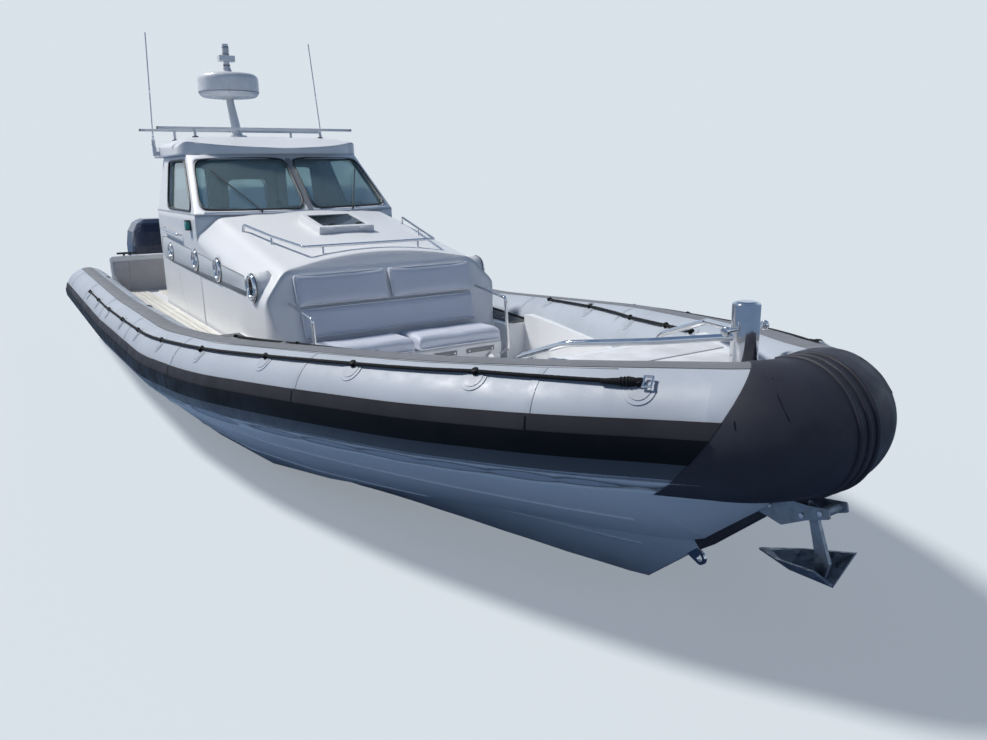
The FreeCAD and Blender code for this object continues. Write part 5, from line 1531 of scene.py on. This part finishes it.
# Rings of the mast lamp: how far below its top; and the ring on the stem below it
LAMP_RINGS = (0.105, 0.032)
STEM_RING_Z = 3.150
# Ferrules of an antenna: share of its length, radius, length
FERRULES = ((0.022, 0.0125, 0.035), (0.055, 0.0095, 0.030), (0.450, 0.0080, 0.050), (0.985, 0.0085, 0.012))
RACK_FOOT_Y = 0.64


class BOAT_OT_mast(bpy.types.Operator):
    """Dome seam and bolts, lamp lens and rings, antenna ferrules, rack feet and end caps"""

    bl_idname = "boat.mast"
    bl_label = "Mast and roof"

    def execute(self, context):
        low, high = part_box("radar_dome")
        x = (low.x + high.x) / 2
        self.dome(x, low.z, high.z)
        self.bolts(x)
        self.lamp(x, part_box("mast_light")[1].z)
        self.antennas()
        self.rack()
        return {"FINISHED"}

    def dome(self, x, foot, top):
        seam = cut_line("radar_dome", "dome_seam", (x, 0.0, foot + 0.052), UP, 0.0040)
        dress(seam, "grey")
        rim = hoop("dome_crown_ring", (x, 0.0, top - 0.001), UP, 0.20, 0.0022, 64, 8)
        dress(rim, "dome")

    def bolts(self, x):
        bolts, washers = [], []
        for spot in ring_places(x, DOME_BOLT_Z, DOME_BOLT_REACH, 4, 45.0):
            bolts.append(drum("bolt", spot - UP * 0.011, spot + UP * 0.001, 0.009, 6, 0.001))
            washers.append(drum("washer", spot - UP * 0.004, spot + UP * 0.001, 0.014, 20, 0.0008))
        for spot in ring_places(MAST_X, ROOF_TOP + 0.011, MAST_BOLT_REACH, 6, 30.0):
            bolts.append(drum("bolt", spot, spot + UP * 0.007, 0.008, 6, 0.001))
            washers.append(drum("washer", spot, spot + UP * 0.003, 0.013, 20, 0.0008))
        dress(join("mast_bolts", bolts + washers), "stainless")

    def lamp(self, x, top):
        lens = drum("mast_lamp_lens", (x, 0.0, top - 0.100), (x, 0.0, top - 0.035), 0.0365, 40, 0.003)
        dress(lens, "lens_clear")
        rings = [hoop("ring", (x, 0.0, top - drop), UP, 0.0355, 0.003, 40, 8) for drop in LAMP_RINGS]
        rings.append(hoop("ring", (x, 0.0, STEM_RING_Z), UP, 0.036, 0.004, 36, 8))
        dress(join("mast_lamp_rings", rings), "black")

    def antennas(self):
        ferrules = []
        for side, _ in SIDES:
            foot, tip = (Vector((x, side * y, z)) for x, y, z in (ANTENNA_FOOT, ANTENNA_TIP))
            reach = tip - foot
            for share, radius, length in FERRULES:
                spot = foot + reach * share
                ferrules.append(drum("ferrule", spot, spot + reach.normalized() * length, radius, 24, 0.002))
            ferrules.append(hoop("nut", foot - UP * 0.020, UP, 0.0185, 0.004, 32, 8))
        dress(join("antenna_ferrules", ferrules), "stainless")

    def rack(self):
        feet, caps = [], []
        for x, z in RACK_BARS:
            for y in (-RACK_FOOT_Y, RACK_FOOT_Y):
                spot = roof_spot(x, y)
                feet.append(drum("foot", spot - UP * 0.010, spot + UP * 0.010, 0.030, 32, 0.003))
            for side, _ in SIDES:
                low, high = sorted((side * 0.9840, side * 0.9885))
                caps.append(block("cap", (x - 0.031, low, z - 0.0125), (x + 0.031, high, z + 0.0125), 0.002))
        dress(join("rack_feet", feet), "black")
        dress(join("rack_end_caps", caps), "black")


# Chain: place of the link at the anchor, step from link to link, the way the links point, and the two ways
# that links lie in turn
CHAIN_START = Vector((4.420, 0.0, 0.690))
CHAIN_STEP = Vector((-0.040, 0.0, 0.009))
CHAIN_HEADING = Vector((-0.976, 0.0, 0.217))
CHAIN_AXES = (Vector((0.6, 0.0, 0.8)), TO_PORT)
LINKS = 5
LINK_STRETCH = 1.75
# Bolts of the bow roller: x, z
ROLLER_BOLTS = ((4.500, 0.700), (4.420, 0.664), (4.270, 0.655))


class BOAT_OT_bow_fittings(bpy.types.Operator):
    """Trim of the post, anchor chain and roller bolts"""

    bl_idname = "boat.bow_fittings"
    bl_label = "Bow fittings"

    def execute(self, context):
        self.post()
        self.chain()
        bolts = []
        for x, z in ROLLER_BOLTS:
            for side, _ in SIDES:
                bolts.append(drum("bolt", (x, side * 0.0590, z), (x, side * 0.0680, z), 0.0115, 6, 0.001))
        dress(join("roller_bolts", bolts), "stainless")
        return {"FINISHED"}

    def post(self):
        trim = [hoop("rim", (POST_X, 0.0, 1.4365), UP, 0.0515, 0.0035, 48, 8)]
        trim.append(drum("crown", (POST_X, 0.0, 1.4375), (POST_X, 0.0, 1.4460), 0.048, 48, 0.004, 0.036))
        for side, _ in SIDES:
            button = [(POST_X, side * y, 1.335) for y in (0.108, 0.126)]
            trim.append(drum("button", *button, 0.020, 28, 0.004))
        for spot in ring_places(POST_X, 1.1395, 0.074, 4, 45.0):
            trim.append(drum("bolt", spot, spot + UP * 0.008, 0.009, 6, 0.001))
        dress(join("post_trim", trim), "stainless")

    def chain(self):
        link = hoop("link", (0.0, 0.0, 0.0), UP, 0.013, 0.0042, 24, 8)
        choose(link)
        bpy.ops.object.mode_set(mode="EDIT")
        bpy.ops.mesh.select_all(action="SELECT")
        bpy.ops.transform.resize(value=(LINK_STRETCH, 1.0, 1.0), center_override=(0.0, 0.0, 0.0))
        bpy.ops.object.mode_set(mode="OBJECT")
        links = []
        for number in range(LINKS):
            axis = CHAIN_AXES[number % 2].normalized()
            links.append(placed(link, "link", CHAIN_START + CHAIN_STEP * number, axis, CHAIN_HEADING))
        remove(link)
        dress(join("anchor_chain", links), "galvanised")


# Directions up from and along the hatch, which leans forward
HATCH_UP = Vector((0.184, 0.0, 0.983))
HATCH_AHEAD = Vector((0.983, 0.0, -0.184))
HATCH_HANDLE_Y = 0.12
# Door handle: its place, its rose and spindle as from x, to x, radius and sides, and the points of its lever
HANDLE_Y = -0.285
HANDLE_Z = 1.250
HANDLE_PARTS = ((-2.912, -2.922, 0.028, 36), (-2.920, -2.948, 0.010, 24))
LEVER = ((-2.945, -0.292, 1.250), (-2.950, -0.260, 1.250), (-2.950, -0.200, 1.250), (-2.944, -0.155, 1.248))


class BOAT_OT_hatch_and_door(bpy.types.Operator):
    """Hatch handles and seal, door handle, and the seal of the door's window"""

    bl_idname = "boat.hatch_and_door"
    bl_label = "Hatch and door"

    def execute(self, context):
        low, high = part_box("hatch_glass")
        centre = (low + high) / 2
        arm = block("arm", (-0.007, -0.007, 0.006), (0.007, 0.042, 0.015), 0.003)
        handles = []
        for y in (-HATCH_HANDLE_Y, HATCH_HANDLE_Y):
            spot = centre + HATCH_UP * 0.004 + HATCH_AHEAD * 0.165 + TO_PORT * y
            handles.append(drum("base", spot, spot + HATCH_UP * 0.010, 0.016, 28, 0.002))
            handles.append(placed(arm, "arm", spot, HATCH_UP, HATCH_AHEAD))
        remove(arm)
        dress(join("hatch_handles", handles), "black", "hatch")
        seal = cut_line("hatch_glass", "hatch_seal", centre, HATCH_UP, 0.0045)
        dress(seal, "black", "hatch")
        handle = []
        for start, end, radius, sides in HANDLE_PARTS:
            ends = [(x, HANDLE_Y, HANDLE_Z) for x in (start, end)]
            handle.append(drum("round", *ends, radius, sides, 0.002))
        handle.append(strand("lever", LEVER, 0.0085))
        dress(join("door_handle", handle), "stainless", "door")
        line = traced([Vector((-2.9125, y, z)) for y, z in DOOR_WINDOW], (0.10, 0.5, 0.90))
        dress(strand("door_window_seal", line, 0.008), "black", "door")
        return {"FINISHED"}


# Face of the helm console: a place on the centreline, and the direction it faces
CONSOLE = Vector((-1.490, 0.0, 1.495))
CONSOLE_FACING = Vector((-0.805, 0.0, 0.593))
SCREEN_PLACES = (-0.64, -0.30)
DIAL_PLACES = (0.42, 0.54, 0.66)
THROTTLE_LEVERS = (-0.140, -0.110)
WHEEL_HUB = Vector((-1.580, -0.470, 1.420))
WHEEL_AXIS = Vector((-0.900, 0.0, 0.436)).normalized()


class BOAT_OT_helm(bpy.types.Operator):
    """Screens, dials, throttle and wheel centre at the helm"""

    bl_idname = "boat.helm"
    bl_label = "Helm"

    def execute(self, context):
        bezel = block("bezel", (-0.145, -0.088, 0.0), (0.145, 0.088, 0.014), 0.008)
        glass = block("glass", (-0.128, -0.072, 0.012), (0.128, 0.072, 0.0155), 0.002)
        screens, bezels, dials = [], [], []
        for y in SCREEN_PLACES:
            spot = CONSOLE + TO_PORT * y
            bezels.append(placed(bezel, "bezel", spot, CONSOLE_FACING, TO_PORT))
            screens.append(placed(glass, "glass", spot, CONSOLE_FACING, TO_PORT))
        remove(bezel, glass)
        for y in DIAL_PLACES:
            spot = CONSOLE + TO_PORT * y
            bezels.append(drum("ring", spot, spot + CONSOLE_FACING * 0.010, 0.045, 36, 0.004))
            foot, top = spot + CONSOLE_FACING * 0.008, spot + CONSOLE_FACING * 0.012
            dials.append(drum("dial", foot, top, 0.037, 36, 0.001))
        dress(join("helm_bezels", bezels), "black")
        dress(join("helm_screens", screens + dials), "dark_glass")
        throttle = [block("mount", (-1.440, -0.165, 1.580), (-1.340, -0.085, 1.625), 0.012)]
        for y in THROTTLE_LEVERS:
            line = [(-1.390, y, 1.620), (-1.400, y, 1.670), (-1.430, y, 1.715)]
            throttle.append(strand("lever", line, 0.007))
            throttle.append(drum("grip", (-1.426, y, 1.708), (-1.444, y, 1.740), 0.0125, 24, 0.005))
        dress(join("throttle", throttle), "black")
        foot, top = WHEEL_HUB + WHEEL_AXIS * 0.064, WHEEL_HUB + WHEEL_AXIS * 0.072
        centre = [drum("centre", foot, top, 0.032, 36, 0.003, 0.026)]
        centre.append(hoop("ring", WHEEL_HUB + WHEEL_AXIS * 0.066, WHEEL_AXIS, 0.034, 0.003, 36, 8))
        dress(join("wheel_centre", centre), "stainless", "helm")
        return {"FINISHED"}


# Floor: radius. Lamp: where it shines from, its spread in degrees, its colour. Camera: sensor, furthest view
FLOOR_RADIUS = 140.0
SUN_FROM = (-0.50, -0.46, 0.88)
SUN_SPREAD = 9.0
SUN_COLOUR = (1.0, 0.975, 0.94)
SENSOR_WIDTH = 36.0
VIEW_END = 500.0
# Light from all round, and the sky in reflections: height, colour
FILL_COLOUR = (0.43, 0.63, 1.0, 1.0)
SKY = ((0.0, (0.86, 0.90, 0.94, 1.0)), (0.20, (0.50, 0.62, 0.78, 1.0)), (0.75, (0.13, 0.21, 0.36, 1.0)))


class BOAT_OT_stage(bpy.types.Operator):
    """Makes the floor at the waterline, the lamp, the world and the camera"""

    bl_idname = "boat.stage"
    bl_label = "Stage"

    def execute(self, context):
        settings = context.scene.boat_stage
        self.floor(settings)
        clear()
        bpy.ops.object.light_add(type="SUN", rotation=aim(SUN_FROM))
        sun = context.object
        sun.name = "key_light"
        sun.data.energy = settings.sun
        sun.data.angle = math.radians(SUN_SPREAD)
        sun.data.color = SUN_COLOUR
        context.scene.world = self.sky(settings)
        clear()
        bpy.ops.object.camera_add(location=settings.place, rotation=settings.turn)
        camera = context.object
        camera.name = "photo_camera"
        camera.data.lens = settings.lens
        camera.data.sensor_width = SENSOR_WIDTH
        camera.data.clip_end = VIEW_END
        context.scene.camera = camera
        context.scene.view_settings.view_transform = "Standard"
        return {"FINISHED"}

    def floor(self, settings):
        """A floor that is pale for the camera and lends the hull a darker blue."""
        clear()
        bpy.ops.mesh.primitive_circle_add(
            vertices=96, radius=FLOOR_RADIUS, fill_type="NGON", location=(0.0, 0.0, 0.0))
        floor = settle("stage_floor")
        finish = Finish("stage_floor", tuple(settings.floor), 1.0, Specular_IOR_Level=0.0)
        seen = finish.new("ShaderNodeLightPath").outputs["Is Camera Ray"]
        finish.paint(finish.mix(seen, tuple(settings.bounce), tuple(settings.floor)))
        finish.shader.inputs["Emission Color"].default_value = (*settings.backdrop, 1.0)
        glow = finish.maths("MULTIPLY", seen, settings.glow)
        finish.tree.links.new(glow, finish.shader.inputs["Emission Strength"])
        floor.data.materials.append(finish.material)

    def sky(self, settings):
        """A plain backdrop for the camera, a pale to blue sky in reflections, soft blue light elsewhere."""
        world = bpy.data.worlds.new("studio")
        world.use_nodes = True
        tree = world.node_tree
        fill = tree.nodes["Background"]
        fill.inputs["Color"].default_value = FILL_COLOUR
        fill.inputs["Strength"].default_value = settings.ambient
        place = tree.nodes.new("ShaderNodeTexCoord").outputs["Generated"]
        height = wired(tree, "ShaderNodeSeparateXYZ", place).outputs["Z"]
        heights = wired(tree, "ShaderNodeValToRGB", height)
        (_, low), (middle, between), (top, high) = SKY
        stops = heights.color_ramp.elements
        stops[0].color = low
        stops[1].color = high
        stops[1].position = top
        stops.new(middle).color = between
        mirrored = wired(tree, "ShaderNodeBackground", heights.outputs["Color"])
        behind = wired(tree, "ShaderNodeBackground", (*settings.backdrop, 1.0))
        rays = tree.nodes.new("ShaderNodeLightPath").outputs
        shiny = wired(tree, "ShaderNodeMath", rays["Is Glossy Ray"], rays["Is Transmission Ray"])
        shiny.operation = "MAXIMUM"
        inner = wired(tree, "ShaderNodeMixShader", shiny.outputs[0], fill.outputs[0], mirrored.outputs[0])
        outer = wired(tree, "ShaderNodeMixShader", rays["Is Camera Ray"], inner.outputs[0], behind.outputs[0])
        tree.links.new(outer.outputs[0], tree.nodes["World Output"].inputs["Surface"])
        return world


class BOAT_PT_panel(bpy.types.Panel):
    """Lists the boat's operators and settings"""

    bl_label = "Boat"
    bl_space_type = "VIEW_3D"
    bl_region_type = "UI"
    bl_category = "Boat"

    def draw(self, context):
        for operator in OPERATORS:
            self.layout.operator(operator.bl_idname)
        for settings in (context.scene.boat_colours, context.scene.boat_sizes, context.scene.boat_stage):
            column = self.layout.column()
            for key in settings.__annotations__:
                column.prop(settings, key)


OPERATORS = (
    BOAT_OT_stage,
    BOAT_OT_finishes,
    BOAT_OT_tube_trim,
    BOAT_OT_deck_trim,
    BOAT_OT_cabin_trim,
    BOAT_OT_cushions,
    BOAT_OT_rails,
    BOAT_OT_hull_lines,
    BOAT_OT_engines,
    BOAT_OT_mast,
    BOAT_OT_bow_fittings,
    BOAT_OT_hatch_and_door,
    BOAT_OT_helm,
)
CLASSES = (BoatColours, BoatSizes, StageSettings) + OPERATORS + (BOAT_PT_panel,)


def register():
    for kind in CLASSES:
        bpy.utils.register_class(kind)
    bpy.types.Scene.boat_colours = bpy.props.PointerProperty(type=BoatColours)
    bpy.types.Scene.boat_sizes = bpy.props.PointerProperty(type=BoatSizes)
    bpy.types.Scene.boat_stage = bpy.props.PointerProperty(type=StageSettings)


def unregister():
    del bpy.types.Scene.boat_stage
    del bpy.types.Scene.boat_sizes
    del bpy.types.Scene.boat_colours
    for kind in reversed(CLASSES):
        bpy.utils.unregister_class(kind)


def main():
    register()
    for operator in OPERATORS:
        group, name = operator.bl_idname.split(".")
        getattr(getattr(bpy.ops, group), name)()


if __name__ == "__main__":
    main()
